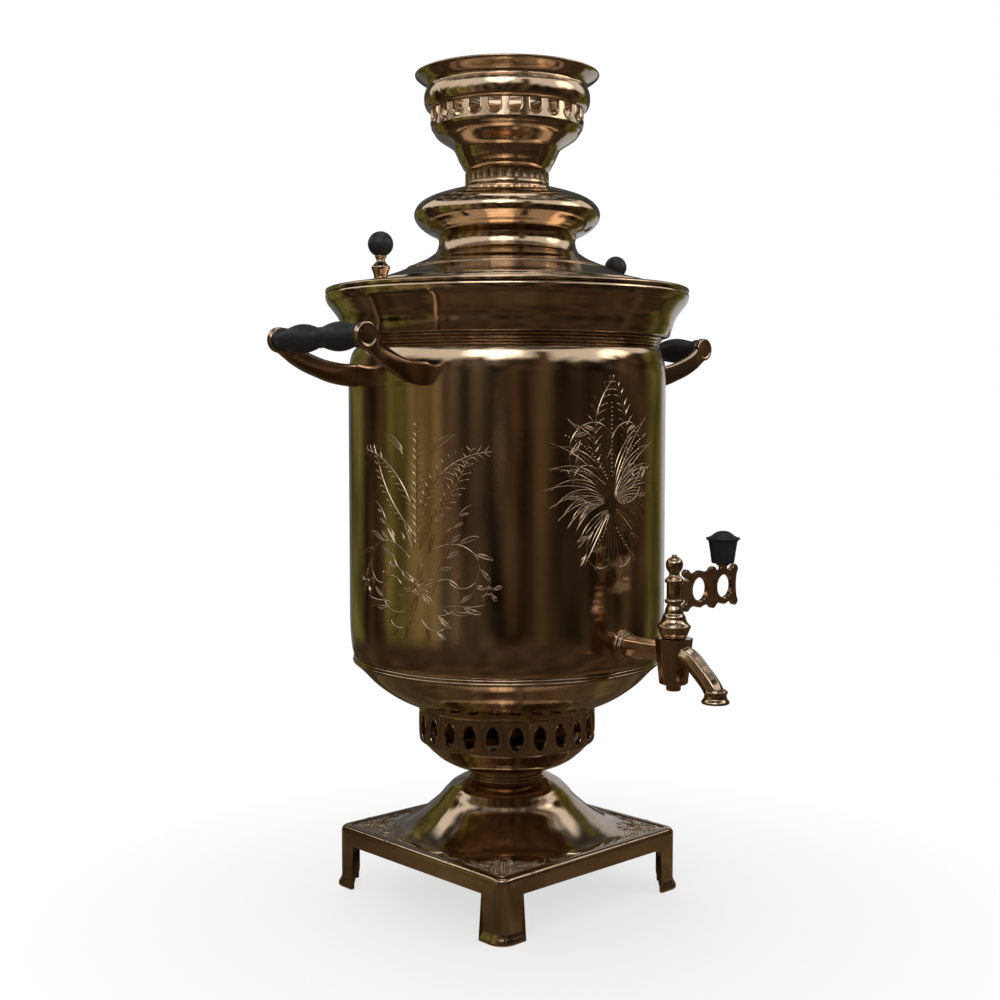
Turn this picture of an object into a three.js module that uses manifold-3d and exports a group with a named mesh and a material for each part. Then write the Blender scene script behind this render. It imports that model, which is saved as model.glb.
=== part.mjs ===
// A charcoal samovar of polished brass: a square footed base, a pierced air ring, a tall round
// water body with an open fire tube up its middle, a lid with a turned cowl, a pierced crown that
// holds the teapot, two side handles and a tap with a turning key.
// Millimetres, +Z up, standing on Z = 0. The tap points along -Y and the handles lie along X.

import * as THREE from "three";
import { mergeVertices } from "three/addons/utils/BufferGeometryUtils.js";
import Module from "manifold-3d";

const wasm = await Module();
wasm.setup();

// Driving dimensions, shared by all pieces
const sheet = 1.6; // thickness of the brass sheet
const fit = 0.3; // gap between a piece and what it is seated on or passes through
const runningFit = 0.25; // gap round the tap's turning plug
const overrun = 6; // how far a cut runs past the piece
const weld = 0.001; // vertices closer than this are one

// Facets round a turn
const bigTurn = 24;
const middleTurn = 16;
const smallTurn = 12;
const tinyTurn = 8;

// Feet
const footHeight = 23.5;
const footLeaf = 18.6; // each leaf, along the side of the base
const toeHeight = 4.5;
const toeProud = 2.2; // how far the toe turns out
const toeThickness = 3.4;

// Base plate
const plateHalf = 78.7;
const plateCorner = 8;
const skirtHeight = 16;
const edgeRound = 3.2;
const rimLand = 3; // raised border of the plate
const rimStep = 0.7;
const domeLand = 6; // flat left between the plate's side and the foot of the dome
const domeHeight = 34;
const neckRadius = 24.6;
const neckBore = 20.4;
const neckHeight = 7;
const neckGroove = 1.2; // depth of the turned grooves in the neck

// Fire box below the body
const bowlHeight = 18;
const bowlFloorRise = 1.2;
const ringRadius = 57;
const ringHeight = 19.5;
const ringWall = 2;
const airHoles = 24;
const airHoleWidth = 8.2;
const airHoleHeight = 15;
const airHoleDrop = 1; // the holes sit a little below the middle of the ring

// Body
const bodyRadius = 100.8;
const bottomHeight = 32;
const bottomLand = 1.4; // flat rim of the bottom beyond the air ring
const bottomTuck = 2.6; // the bottom's rim is this much smaller than the body
const bandHeight = 4;
const bandInset = 1.6; // the band's crest lies this far inside the body's radius
const bandDepth = 2.8;
const bandGroove = 0.9;
const shellHeight = 195;
const shellTaper = 3.2; // the shell draws in this much at its foot
const shellTaperHeight = 28;
const shoulderHeight = 18;
const mouthInset = 6; // the neck's radius is this much smaller than the body's
const neckRingHeight = 6;
const neckRingDepth = 3.2;
const neckRingGroove = 1;

// Flared collar
const collarHeight = 30.5;
const collarFootProud = 2.2; // the collar's foot stands this much proud of the body
const lipProud = 14.2; // the lip stands this much proud of the body
const lipHeight = 4;

// Fire tube and grate
const tubeFootRadius = 38;
const tubeTopRadius = 24.2;
const tubeStraight = 75; // straight length at the top of the tube
const tubeFootStraight = 60;
const tubeFlange = 5;
const grateLedge = 3.6;
const grateThickness = 3;
const grateBars = 6;
const grateBarWidth = 6;
const grateBorder = 5;

// Lid
const lidBrimWidth = 25; // from the rim in to the raised disc
const lidBrimRise = 4.2;
const lidEdgeHeight = 2.4;
const lidStepHeight = 2.4;
const lidStepWidth = 1.6;
const lidDiscRise = 6.2;
const lidDiscWidth = 26.3; // from the disc's edge in to the cowl's foot
const lidFlangeInset = 6.5; // the locating flange lies this far inside the lid's rim
const lidFlangeDepth = 6;
const lidHoleInset = 5; // the lid's hole is this much smaller than the cowl's foot

// Cowl on the lid
const cowlFootHeight = 11.2;
const cowlWaistRadius = 43.2;
const cowlWaistHeight = 10.2;
const cowlCreaseProud = 2.8;
const cowlBulgeRadius = 58.2;
const cowlBulgeHeight = 29.4;
const cowlHeadRadius = 28;
const tubeClearance = 1; // round the fire tube, in the cowl's hole

// Crown
const socketHeight = 10;
const socketRadius = 26.6;
const socketWall = 1.9;
const socketLip = 3.2; // inner lip that rests on the fire tube
const crownBowlHeight = 27;
const galleryRadius = 48.4;
const galleryHeight = 13.5;
const galleryHoles = 24;
const galleryHoleWidth = 7.6;
const galleryHoleSill = 1.7;
const galleryHoleHead = 1.5;
const crownRimHeight = 20;
const crownRimRadius = 58.2;
const crownBeadProud = 3.8;
const crownRimFlat = 2.4; // flat top face that carries the teapot

// Knobs on the lid
const knobInset = 12.6; // from the lid's rim in to the knob's axis
const stemHeight = 10.4;
const stemFootRadius = 3.7;
const stemWaistRadius = 2;
const stemWideRadius = 5.6;
const stemCupRadius = 3.4;
const studRadius = 1.9;
const studBelow = 6.4; // length of the stud under the brim
const studAbove = 6;
const ballRadius = 7.5;
const nutRadius = 4.2;
const nutThickness = 3;

// Steam vent, behind the cowl
const ventInset = 16; // from the edge of the raised disc in to the vent's axis
const ventRadius = 6.6;
const ventHeight = 8.6;
const ventBore = 2.6;
const ventSpigot = 4.2;
const ventSpigotLength = 4;

// Handles
const gripStandoff = 45.2; // from the body's side to the axis of the grip
const gripRise = 2; // grip axis above the top of the shell
const gripHalf = 39;
const gripRadius = 8.4;
const gripWaistRadius = 5.7;
const gripEndRadius = 6.9;
const gripNeckRadius = 6.2;
const discRadius = 7.5;
const discThickness = 4.2;
const discBevel = 0.5;
const armThickness = 3.8;
const armInset = 0.4; // the arm's outer face lies this far inside the disc's
const armDrop = 27;
const armDepth = 14; // height of the arm where it meets the body
const rodRadius = 2.4;
const rodSeat = 2.6; // how deep the rod goes into each disc
const strapThickness = 1.5;
const strapHeight = 2.2;

// Tap
const tapRise = 16; // axis of the pipe above the foot of the shell
const pipeLength = 38.7; // from the body's side to the plug's axis
const pipeRadius = 6.7;
const pipeSides = 8; // the flange, pipe, valve body and spout are eight-sided
const shankRadius = 5.2;
const shankLength = 11; // through the wall and its nut
const waterBore = 3.2;
const flangeRadius = 9.8;
const flangeCollarRadius = 8.2;
const flangeThickness = 1.8;
const flangeCollarThickness = 2.6;
const valveTopRadius = 11.4;
const valveBottomRadius = 8.3;
const valveHeight = 27.4;
const valveAbove = 9; // top of the valve body above the pipe's axis
const plugBottomRadius = 4.2;
const plugTopRadius = 6.6;
const plugTip = 3.2;
const plugNeckHeight = 1;
const plugSkirtRadius = 9.8;
const plugSkirtHeight = 6.2;
const plugBellHeight = 9.6;
const plugBellRadius = 4;
const barrelRadius = 4.6;
const barrelRing = 0.9;
const barrelHeight = 9.6;
const barrelRingHeight = 3;
const finialRadius = 4.7;
const finialNeckRadius = 3.2;
const finialHeight = 12.6;
const keyLength = 57.6; // from the plug's axis
const keyHalfHeight = 12;
const keyThickness = 3.4;
const keyHornRadius = 2.2;
const keyScallop = 2.4;
const keyCusp = 1;
const keyHoleRadius = 6.9;
const keyTongueHalf = 4.6;
const keyKnobReach = 44.6;
const keyPostRadius = 2.2;
const keyPostHeight = 6;
const knobFlangeRadius = 10.2;
const knobTopRadius = 8.6;
const knobBottomRadius = 6.7;
const knobHeight = 19.2;
const spoutReach = 30.5; // from the plug's axis to the mouth's
const spoutRadius = 5.9;
const spoutBend = 25.5;
const spoutDrop = 2.2;
const spoutSteps = 6;
const mouthRadius = 8;
const mouthHeight = 8.6;
const mouthCollarProud = 0.7;
const washerThickness = 1.6;
const washerRadius = 8.6;
const tapNutRadius = 9.2;
const tapNutThickness = 4;

// Heights of the joints between pieces, added up from the floor
const plateTop = footHeight + skirtHeight;
const domeTop = plateTop + domeHeight;
const bowlBase = domeTop + neckHeight;
const ringBase = bowlBase + bowlHeight;
const bottomBase = ringBase + ringHeight;
const bandBase = bottomBase + bottomHeight;
const shellBase = bandBase + bandHeight;
const shellTop = shellBase + shellHeight;
const collarBase = shellTop + neckRingHeight;
const lipTop = collarBase + collarHeight;
const lidBase = lipTop + fit;
const brimInner = lidBase + lidBrimRise;
const discBase = brimInner + lidStepHeight;
const cowlBase = discBase + lidDiscRise;
const waistBase = cowlBase + cowlFootHeight;
const bulgeBase = waistBase + cowlWaistHeight;
const cowlTop = bulgeBase + cowlBulgeHeight;
const socketBase = cowlTop + fit;
const crownBase = socketBase + socketHeight;
const galleryBase = crownBase + crownBowlHeight;
const crownRimBase = galleryBase + galleryHeight;
const crownTop = crownRimBase + crownRimHeight;
const tubeTop = crownBase - sheet - fit;
const tapAxis = shellBase + tapRise;
const gripAxis = shellTop + gripRise;
const valveTop = tapAxis + valveAbove;
const valveBottom = valveTop - valveHeight;

// Radii and reaches worked out from the driving dimensions
const lipRadius = bodyRadius + lipProud;
const neckMouth = bodyRadius - mouthInset;
const shellFootRadius = bodyRadius - shellTaper;
const bandRadius = bodyRadius - bandInset;
const brimRadius = lipRadius - lidBrimWidth;
const cowlFootRadius = brimRadius - lidDiscWidth;
const knobReach = lipRadius - knobInset;
const ventReach = brimRadius - ventInset;
const gripReach = bodyRadius + gripStandoff;
const plugReach = bodyRadius + pipeLength;
const tapReach = plugReach + spoutReach + mouthRadius;

// The frame's origin lies on the floor under the middle of the whole outline, which the tap
// draws forward of the body's own axis.
const axisOffset = (tapReach - lipRadius) / 2;

// Finishes
const finishes = {
  brass: { color: 0xa87850, roughness: 0.2, metalness: 1 },
  castBrass: { color: 0x9a6a44, roughness: 0.26, metalness: 1 },
  tinnedBrass: { color: 0xa9a49a, roughness: 0.4, metalness: 1 },
  blackWood: { color: 0x24262a, roughness: 0.5, metalness: 0 },
  iron: { color: 0x2f2d2b, roughness: 0.8, metalness: 1 },
  steel: { color: 0x77787a, roughness: 0.4, metalness: 1 },
  fibre: { color: 0x5a3a2a, roughness: 0.85, metalness: 0 },
};

const samovar = new THREE.Group();
samovar.position.y = axisOffset;

function add(name, geometry, finish, parent = samovar) {
  const mesh = new THREE.Mesh(geometry, new THREE.MeshStandardMaterial(finishes[finish]));
  mesh.name = name;
  parent.add(mesh);
  return mesh;
}

// Solids for cutting and joining

function solidOf(geometry) {
  const bare = geometry.index ? geometry.toNonIndexed() : geometry.clone();
  bare.deleteAttribute("normal");
  bare.deleteAttribute("uv");
  const merged = mergeVertices(bare, weld);
  return new wasm.Manifold(
    new wasm.Mesh({
      numProp: 3,
      vertProperties: merged.attributes.position.array,
      triVerts: new Uint32Array(merged.index.array),
    }),
  );
}

function geometryOf(solid) {
  const mesh = solid.getMesh();
  const geometry = new THREE.BufferGeometry();
  geometry.setAttribute("position", new THREE.BufferAttribute(mesh.vertProperties, 3));
  geometry.setIndex(new THREE.BufferAttribute(mesh.triVerts, 1));
  return geometry;
}

function cut(geometry, ...tools) {
  return geometryOf(tools.reduce((solid, tool) => solid.subtract(solidOf(tool)), solidOf(geometry)));
}

function join(...geometries) {
  return geometryOf(geometries.map(solidOf).reduce((whole, solid) => whole.add(solid)));
}

// Outlines and sections, in radius and height

// Points given as shares: across from one radius to another, and up from one height to another.
function run(shares, fromRadius, toRadius, fromHeight, toHeight) {
  return shares.map(([across, up]) => [
    fromRadius + across * (toRadius - fromRadius),
    fromHeight + up * (toHeight - fromHeight),
  ]);
}

// A smooth line through points, in even steps of its parameter.
function smooth(points, steps) {
  const curve = new THREE.SplineCurve(points.map(([r, z]) => new THREE.Vector2(r, z)));
  return curve.getPoints(steps).map((p) => [p.x, p.y]);
}

// A quarter of an ellipse from one point to another, leaving the first point upright or level.
function quarter([r0, z0], [r1, z1], steps, upright = true) {
  const points = [];
  for (let i = 0; i <= steps; i++) {
    const angle = (i / steps) * (Math.PI / 2);
    const [slow, fast] = [1 - Math.cos(angle), Math.sin(angle)];
    const [across, up] = upright ? [slow, fast] : [fast, slow];
    points.push([r0 + across * (r1 - r0), z0 + up * (z1 - z0)]);
  }
  return points;
}

// The closed section of a sheet of even thickness whose outer face follows an outline. Each end is
// cut level, at one height, or upright, at one radius. The hidden face of a smooth sheet is drawn
// through every other point.
function sheetSection(outline, thickness, firstEnd = "level", lastEnd = "level", hiddenStep = 1) {
  const inward = ([r0, z0], [r1, z1]) => {
    const length = Math.hypot(r1 - r0, z1 - z0);
    return [-(z1 - z0) / length, (r1 - r0) / length];
  };
  const last = outline.length - 1;
  const inner = outline.map(([r, z], i) => {
    const before = inward(outline[Math.max(i - 1, 0)], outline[Math.max(i, 1)]);
    const after = inward(outline[Math.min(i, last - 1)], outline[Math.min(i + 1, last)]);
    if (i === 0 || i === last) {
      const [nr, nz] = i === 0 ? after : before;
      const level = (i === 0 ? firstEnd : lastEnd) === "level";
      return level ? [r + thickness / nr, z] : [r, z + thickness / nz];
    }
    const stretch = thickness / (1 + before[0] * after[0] + before[1] * after[1]);
    return [r + stretch * (before[0] + after[0]), z + stretch * (before[1] + after[1])];
  });
  const kept = inner.filter((_, i) => i === 0 || i === last || (last - i) % hiddenStep === 0);
  return [...outline, ...kept.reverse()];
}

// A body of revolution about Z from a closed section, or from an outline that starts and ends on
// the axis. The section runs up its outer side.
function turned(section, steps) {
  const points = section.map(([r, z]) => new THREE.Vector2(r, z));
  if (section[0][0] > 0) points.push(points[0].clone());
  return new THREE.LatheGeometry(points, steps).rotateX(Math.PI / 2);
}

// Radius of a faceted hole whose flats clear a given radius.
function clearOf(radius, steps) {
  return (radius + fit) / Math.cos(Math.PI / steps);
}

function cylinder(radius, from, to, steps) {
  return turned([[0, from], [radius, from], [radius, to], [0, to]], steps);
}

// A flat outline, with any holes, raised along Z.
function raised(shape, from, to, curveSteps = smallTurn) {
  const geometry = new THREE.ExtrudeGeometry(shape, {
    depth: to - from,
    bevelEnabled: false,
    curveSegments: curveSteps,
  });
  return geometry.translate(0, 0, from);
}

// The same, lying along -Y with its drawing plane upright, for cuts through a round wall.
function pushedForward(shape, near, far, curveSteps) {
  return raised(shape, near, far, curveSteps).rotateX(Math.PI / 2);
}

// A regular outline with a corner straight down, or an oval when a second radius is given.
function polygonShape(sides, radius, radiusUp = radius, middle = [0, 0]) {
  const corners = Array.from({ length: sides }, (_, i) => {
    const angle = (i / sides) * 2 * Math.PI;
    return new THREE.Vector2(middle[0] + radius * Math.sin(angle), middle[1] - radiusUp * Math.cos(angle));
  });
  return new THREE.Shape(corners);
}

// A solid through rings of points. It ends in flat caps of the given outline, or, without one, the
// last ring joins the first, so a hollow wall is lofted up its outside and down its inside.
function lofted(rings, cap) {
  const count = rings[0].length;
  const positions = rings.flat(2);
  const triangles = [];
  const spans = cap ? rings.length - 1 : rings.length;
  for (let k = 0; k < spans; k++) {
    const low = k * count;
    const high = ((k + 1) % rings.length) * count;
    for (let i = 0; i < count; i++) {
      const next = (i + 1) % count;
      triangles.push(low + i, low + next, high + next, low + i, high + next, high + i);
    }
  }
  if (cap) {
    const top = (rings.length - 1) * count;
    for (const [a, b, c] of THREE.ShapeUtils.triangulateShape(cap, [])) {
      triangles.push(a, c, b, top + a, top + b, top + c);
    }
  }
  const geometry = new THREE.BufferGeometry();
  geometry.setAttribute("position", new THREE.Float32BufferAttribute(positions, 3));
  geometry.setIndex(triangles);
  return geometry;
}

// Base

// A rounded square as a ring of points. Each quarter starts with the middle of a side and its
// half-way point, goes round the corner, and ends half-way along the next side.
function squareRing(half, corner, height) {
  const straight = half - corner;
  const arc = [0, 1 / 2, 1].map((share) => share * (Math.PI / 2));
  const quarterPoints = [
    [half, 0],
    [half, straight / 2],
    ...arc.map((a) => [straight + corner * Math.cos(a), straight + corner * Math.sin(a)]),
    [straight / 2, half],
  ];
  const turns = [[1, 0], [0, 1], [-1, 0], [0, -1]];
  return turns.flatMap(([c, s]) => quarterPoints.map(([x, y]) => [c * x - s * y, s * x + c * y, height]));
}

function circleRing(radius, height) {
  return Array.from({ length: bigTurn }, (_, i) => {
    const angle = (i / bigTurn) * 2 * Math.PI;
    return [radius * Math.cos(angle), radius * Math.sin(angle), height];
  });
}

// Shares from the dome's foot in to the neck, and up the dome's height.
const domeShares = [[0, 0.02], [0.13, 0.1], [0.3, 0.27], [0.47, 0.47], [0.62, 0.66], [0.8, 0.87], [0.97, 1]];

function basePlate() {
  const domeFoot = plateHalf - domeLand;
  const dome = smooth(run(domeShares, domeFoot, neckRadius, plateTop, domeTop), 5);
  const section = sheetSection(dome, sheet, "level", "upright", 2);
  const inside = section.slice(dome.length);
  const rim = plateHalf - edgeRound - rimLand;
  const innerCorner = plateCorner - sheet;
  const edge = quarter([plateHalf, plateTop - edgeRound], [plateHalf - edgeRound, plateTop], 2);
  return lofted([
    squareRing(plateHalf, plateCorner, footHeight),
    ...edge.map(([half, height]) => squareRing(half, plateCorner - (plateHalf - half) / 2, height)),
    squareRing(rim, innerCorner, plateTop),
    squareRing(rim - rimStep, innerCorner, plateTop - rimStep),
    ...dome.map(([radius, height]) => circleRing(radius, height)),
    circleRing(neckBore, domeTop),
    circleRing(neckBore, domeTop - sheet),
    ...inside.slice(1).map(([radius, height]) => circleRing(radius, height)),
    squareRing(rim - rimStep, innerCorner, plateTop - rimStep - sheet),
    squareRing(plateHalf - sheet, innerCorner, plateTop - rimStep - sheet),
    squareRing(plateHalf - sheet, innerCorner, footHeight),
  ]);
}

// One leg is an angle of two leaves whose toe thickens and turns out.
function legSection(spread, thickness, height) {
  const half = plateHalf + spread;
  const end = plateHalf - footLeaf;
  const centre = plateHalf - plateCorner;
  const bend = [0, 1, 2, 3].map((i) => (i / 3) * (Math.PI / 2));
  const arc = (radius) => bend.map((a) => [centre + radius * Math.cos(a), centre + radius * Math.sin(a)]);
  const inner = half - thickness;
  const outside = [[half, end], ...arc(half - centre), [end, half]];
  const inside = [[end, inner], ...arc(inner - centre).reverse(), [inner, end]];
  return [...outside, ...inside].map(([x, y]) => [x, y, height]);
}

// Shares of the toe's spread, of its extra thickness and of its height, from the floor up.
const toeShares = [[0.9, 0.85, 0], [1, 1, 0.35], [0.3, 0.4, 1], [0, 0, 1.8]];

function foot() {
  const toe = toeShares.map(([out, thick, up]) => {
    return legSection(toeProud * out, sheet + (toeThickness - sheet) * thick, toeHeight * up);
  });
  const top = legSection(0, sheet, footHeight);
  return lofted([...toe, top], top.map(([x, y]) => new THREE.Vector2(x, y)));
}

// Shares of the grooves' depth, and up the neck.
const neckShares = [[0, 0], [0, 0.16], [1, 0.26], [0.3, 0.4], [1, 0.54], [0.3, 0.68], [1, 0.84], [0.6, 1]];

function baseNeck() {
  const low = neckRadius - neckGroove;
  const outline = run(neckShares, neckRadius, low, domeTop, bowlBase);
  return turned([...outline, [neckBore, bowlBase], [neckBore, domeTop]], middleTurn);
}

add("base_plate", basePlate(), "brass");
const corners = ["back_right", "back_left", "front_left", "front_right"];
corners.forEach((corner, i) => {
  add(`base_foot_${corner}`, foot(), "brass").rotation.z = (i * Math.PI) / 2;
});
add("base_neck", baseNeck(), "brass");

// Fire box

// Shares from the neck out to the air ring, and up to it.
const bowlShares = [[0, 0], [0.3, 0.04], [0.62, 0.26], [0.86, 0.6], [1, 1]];

function ashBowl() {
  const start = neckRadius - neckGroove;
  const floor = bowlBase + bowlFloorRise;
  const bulge = smooth(run(bowlShares, start, ringRadius - sheet / 2, floor, ringBase), 5);
  const outline = [[neckBore, bowlBase], [start, bowlBase], ...bulge];
  return turned(sheetSection(outline, sheet, "upright", "level", 2), bigTurn);
}

// Copies of a cut, one half step off the front, all round the axis.
function allRound(tool, count) {
  return Array.from({ length: count }, (_, i) => tool.clone().rotateZ(((i + 0.5) / count) * 2 * Math.PI));
}

function airRing() {
  const shape = polygonShape(airHoles, ringRadius);
  shape.holes.push(polygonShape(airHoles, ringRadius - ringWall));
  const wall = raised(shape, ringBase, bottomBase);
  const middle = ringBase + ringHeight / 2 - airHoleDrop;
  const hole = pushedForward(
    polygonShape(tinyTurn, airHoleWidth / 2, airHoleHeight / 2, [0, middle]),
    ringRadius - overrun,
    ringRadius + overrun,
  );
  return cut(wall, ...allRound(hole, airHoles));
}

add("ash_bowl", ashBowl(), "brass");
add("air_ring", airRing(), "castBrass");

// Body

// Shares from the rim over the air ring out to the band, and up to it.
const bottomShares = [
  [0, 0],
  [0.05, 0.1],
  [0.22, 0.2],
  [0.46, 0.36],
  [0.66, 0.55],
  [0.84, 0.76],
  [0.96, 0.93],
  [1, 1],
];

function bodyBottom() {
  const land = ringRadius + bottomLand;
  const rim = bodyRadius - bottomTuck;
  const bulge = smooth(run(bottomShares, land, rim, bottomBase, bandBase), 6);
  const outline = [[clearOf(tubeFootRadius, bigTurn), bottomBase], ...bulge];
  return turned(sheetSection(outline, sheet, "upright", "level", 2), bigTurn);
}

function ridgedBand(radius, depth, groove, base, height, ridges) {
  const outline = [];
  for (let i = 0; i < ridges; i++) {
    const low = base + (i / ridges) * height;
    outline.push([radius - groove, low], [radius, low + height / (2 * ridges)]);
  }
  outline.push([radius - groove, base + height], [radius - depth, base + height], [radius - depth, base]);
  return turned(outline, bigTurn);
}

function bodyShell() {
  const inset = bodyRadius - neckMouth;
  const straightTop = shellTop - shoulderHeight;
  const foot = quarter([bodyRadius, shellBase + shellTaperHeight], [shellFootRadius, shellBase], 2);
  const shoulder = quarter([bodyRadius, straightTop], [bodyRadius - inset, shellTop], 4);
  const outline = [...foot.reverse(), ...shoulder];
  const wall = turned(sheetSection(outline, sheet), bigTurn);
  const tapHole = cylinder(shankRadius + fit, bodyRadius - 2 * overrun, bodyRadius + overrun, smallTurn);
  return cut(wall, tapHole.rotateX(Math.PI / 2).translate(0, 0, tapAxis));
}

// Shares from the neck out to the highest ring, and up the rings.
const neckRingShares = [[0, 0], [0.5, 0.2], [0.3, 0.4], [0.8, 0.6], [0.6, 0.8], [1, 1]];

function neckRing() {
  const high = bodyRadius - mouthInset / 3;
  const outline = run(neckRingShares, neckMouth, high, shellTop, collarBase);
  const inside = neckMouth - neckRingDepth + neckRingGroove;
  return turned([...outline, [inside, collarBase], [inside, shellTop]], bigTurn);
}

// Shares from the collar's foot out to its lip, and up to it.
const collarShares = [[0, 0.08], [0.06, 0.3], [0.16, 0.44], [0.42, 0.6], [0.76, 0.78], [0.96, 0.93]];

function bodyCollar() {
  const footRadius = bodyRadius + collarFootProud;
  const seat = neckMouth - neckRingDepth + neckRingGroove;
  const lipBase = lipTop - lipHeight / 2;
  const flare = smooth(run(collarShares, footRadius, lipRadius, collarBase, lipBase), 5);
  const lip = [[lipRadius, lipBase], [lipRadius, lipTop]];
  const outline = [[seat, collarBase], [footRadius - sheet, collarBase], ...flare, ...lip];
  return turned(sheetSection(outline, sheet, "upright", "level", 2), bigTurn);
}

add("body_bottom", bodyBottom(), "brass");
add("body_band", ridgedBand(bandRadius, bandDepth, bandGroove, bandBase, bandHeight, 2), "brass");
add("body_shell", bodyShell(), "brass");
add("body_neck_ring", neckRing(), "brass");
add("body_collar", bodyCollar(), "brass");

// Fire tube and grate

function fireTube() {
  const seat = bottomBase + sheet;
  const footTop = seat + sheet + tubeFootStraight;
  const neckBottom = tubeTop - tubeStraight;
  const ledge = tubeFootRadius - sheet - grateLedge;
  const section = [
    [tubeFootRadius, bottomBase],
    [tubeFootRadius, seat],
    [tubeFootRadius + tubeFlange, seat],
    [tubeFootRadius + tubeFlange, seat + sheet],
    [tubeFootRadius, seat + sheet],
    [tubeFootRadius, footTop],
    [tubeTopRadius, neckBottom],
    [tubeTopRadius, tubeTop],
    [tubeTopRadius - sheet, tubeTop],
    [tubeTopRadius - sheet, neckBottom],
    [tubeFootRadius - sheet, footTop],
    [tubeFootRadius - sheet, seat],
    [ledge, seat],
    [ledge, bottomBase],
  ];
  return turned(section, middleTurn);
}

function fireGrate() {
  const radius = tubeFootRadius - sheet - fit;
  const reach = radius - grateBorder;
  const pitch = (2 * reach) / grateBars;
  const slotWidth = pitch - grateBarWidth / 2;
  const seat = bottomBase + sheet;
  const slots = [];
  for (let i = 0; i < grateBars; i++) {
    const middle = -reach + (i + 0.5) * pitch;
    const farEdge = Math.abs(middle) + slotWidth / 4;
    const slotLength = 2 * Math.sqrt(reach ** 2 - farEdge ** 2);
    const slot = new THREE.BoxGeometry(slotWidth, slotLength, grateThickness + 2 * overrun);
    slots.push(slot.translate(middle, 0, seat));
  }
  return cut(cylinder(radius, seat, seat + grateThickness, middleTurn), ...slots);
}

add("fire_tube", fireTube(), "tinnedBrass");
add("fire_grate", fireGrate(), "iron");

// Lid

const lidHole = cowlFootRadius - lidHoleInset;

// Shares from the raised disc's edge in to the cowl's foot, and up to it.
const discShares = [[0, 0], [0.4, 0.65], [1, 1]];

// Top face of the lid, from its rim in to the hole under the cowl.
function lidOutline() {
  const edgeTop = lidBase + lidEdgeHeight;
  const edge = [[lipRadius, lidBase], [lipRadius, edgeTop - sheet / 2], [lipRadius - sheet / 2, edgeTop]];
  const discEdge = brimRadius - lidStepWidth;
  const disc = run(discShares, discEdge, cowlFootRadius, discBase, cowlBase);
  return [...edge, [brimRadius, brimInner], ...disc, [lidHole, cowlBase]];
}

function lidPlate() {
  const plate = turned(sheetSection(lidOutline(), sheet, "level", "upright"), bigTurn);
  const outer = lipRadius - lidFlangeInset;
  const [low, high] = [lidBase - lidFlangeDepth, lidBase + lidEdgeHeight];
  const flangeSection = [[outer, low], [outer, high], [outer - sheet, high], [outer - sheet, low]];
  const hole = (radius, x, y) => {
    return cylinder(radius, lidBase - overrun, cowlBase + overrun, tinyTurn).translate(x, y, 0);
  };
  return cut(
    join(plate, turned(flangeSection, bigTurn)),
    hole(studRadius + fit, -knobReach, 0),
    hole(studRadius + fit, knobReach, 0),
    hole(ventSpigot + fit, 0, ventReach),
  );
}

// Shares of the cowl's outline, each between two of its named radii and heights, and the height
// of its widest place as a share of the bulge's.
const cowlFootShares = [[0, 0], [0.02, 0.12], [0.3, 0.28], [0.9, 0.94]];
const cowlWaistShares = [[0, 0.4], [1, 1]];
const cowlBulgeLowShares = [[0.33, 0.16], [0.78, 0.54], [1, 1]];
const cowlBulgeHighShares = [[0.14, 0.4], [0.5, 0.76], [1, 1]];
const cowlWidestShare = 0.42;

function lidCowl() {
  const crease = cowlWaistRadius + cowlCreaseProud;
  const bulgeMiddle = bulgeBase + cowlBulgeHeight * cowlWidestShare;
  const outline = [
    ...run(cowlFootShares, cowlFootRadius, cowlWaistRadius, cowlBase, waistBase),
    ...run(cowlWaistShares, cowlWaistRadius, crease, waistBase, bulgeBase),
    ...run(cowlBulgeLowShares, crease, cowlBulgeRadius, bulgeBase, bulgeMiddle),
    ...run(cowlBulgeHighShares, cowlBulgeRadius, cowlHeadRadius, bulgeMiddle, cowlTop),
    [tubeTopRadius + tubeClearance, cowlTop],
  ];
  return turned(sheetSection(outline, sheet, "level", "upright"), bigTurn);
}

// Shares from the vent's rim in to its bore, and up its height.
const ventShares = [
  [0, 0],
  [0.1, 0.2],
  [0.45, 0.26],
  [0.5, 0.5],
  [0.05, 0.58],
  [0, 0.7],
  [0.25, 0.88],
  [0.6, 1],
];

function lidVent() {
  const top = cowlBase + ventHeight;
  const seat = cowlBase + fit;
  const cap = run(ventShares, ventRadius, ventBore, seat, top);
  const spigotBottom = discBase - ventSpigotLength;
  const spigot = [[ventBore, spigotBottom], [ventSpigot, spigotBottom], [ventSpigot, seat]];
  return turned([...spigot, ...cap, [ventBore, top]], tinyTurn).translate(0, ventReach, 0);
}

add("lid_plate", lidPlate(), "brass");
add("lid_cowl", lidCowl(), "brass");
add("lid_vent", lidVent(), "castBrass");

// Knobs on the lid

// Height of the brim's top face at the knobs.
const brimSlope = (brimInner - lidBase - lidEdgeHeight) / (lidBrimWidth - sheet / 2);
const brimAtKnob = lidBase + lidEdgeHeight + (lipRadius - sheet / 2 - knobReach) * brimSlope;

// Shares of the knob stem: from its foot out to its widest ring, and from its waist to its cup.
const stemShares = [[0, 0], [0, 0.05], [1, 0.3], [0.98, 0.36]];
const stemCupShares = [[0, 0.35], [0.1, 0.7], [1, 1]];
const stemRingShare = 0.36;

function knobStem() {
  const low = brimAtKnob + fit + stemFootRadius * brimSlope;
  const top = low + stemHeight;
  const flareTop = low + stemRingShare * stemHeight;
  const outline = [
    [0, low - studBelow],
    [studRadius, low - studBelow],
    [studRadius, low],
    ...run(stemShares, stemFootRadius, stemWideRadius, low, top),
    ...run(stemCupShares, stemWaistRadius, stemCupRadius, flareTop, top),
    [studRadius, top],
    [studRadius, top + studAbove],
    [0, top + studAbove],
  ];
  return turned(outline, tinyTurn);
}

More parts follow.
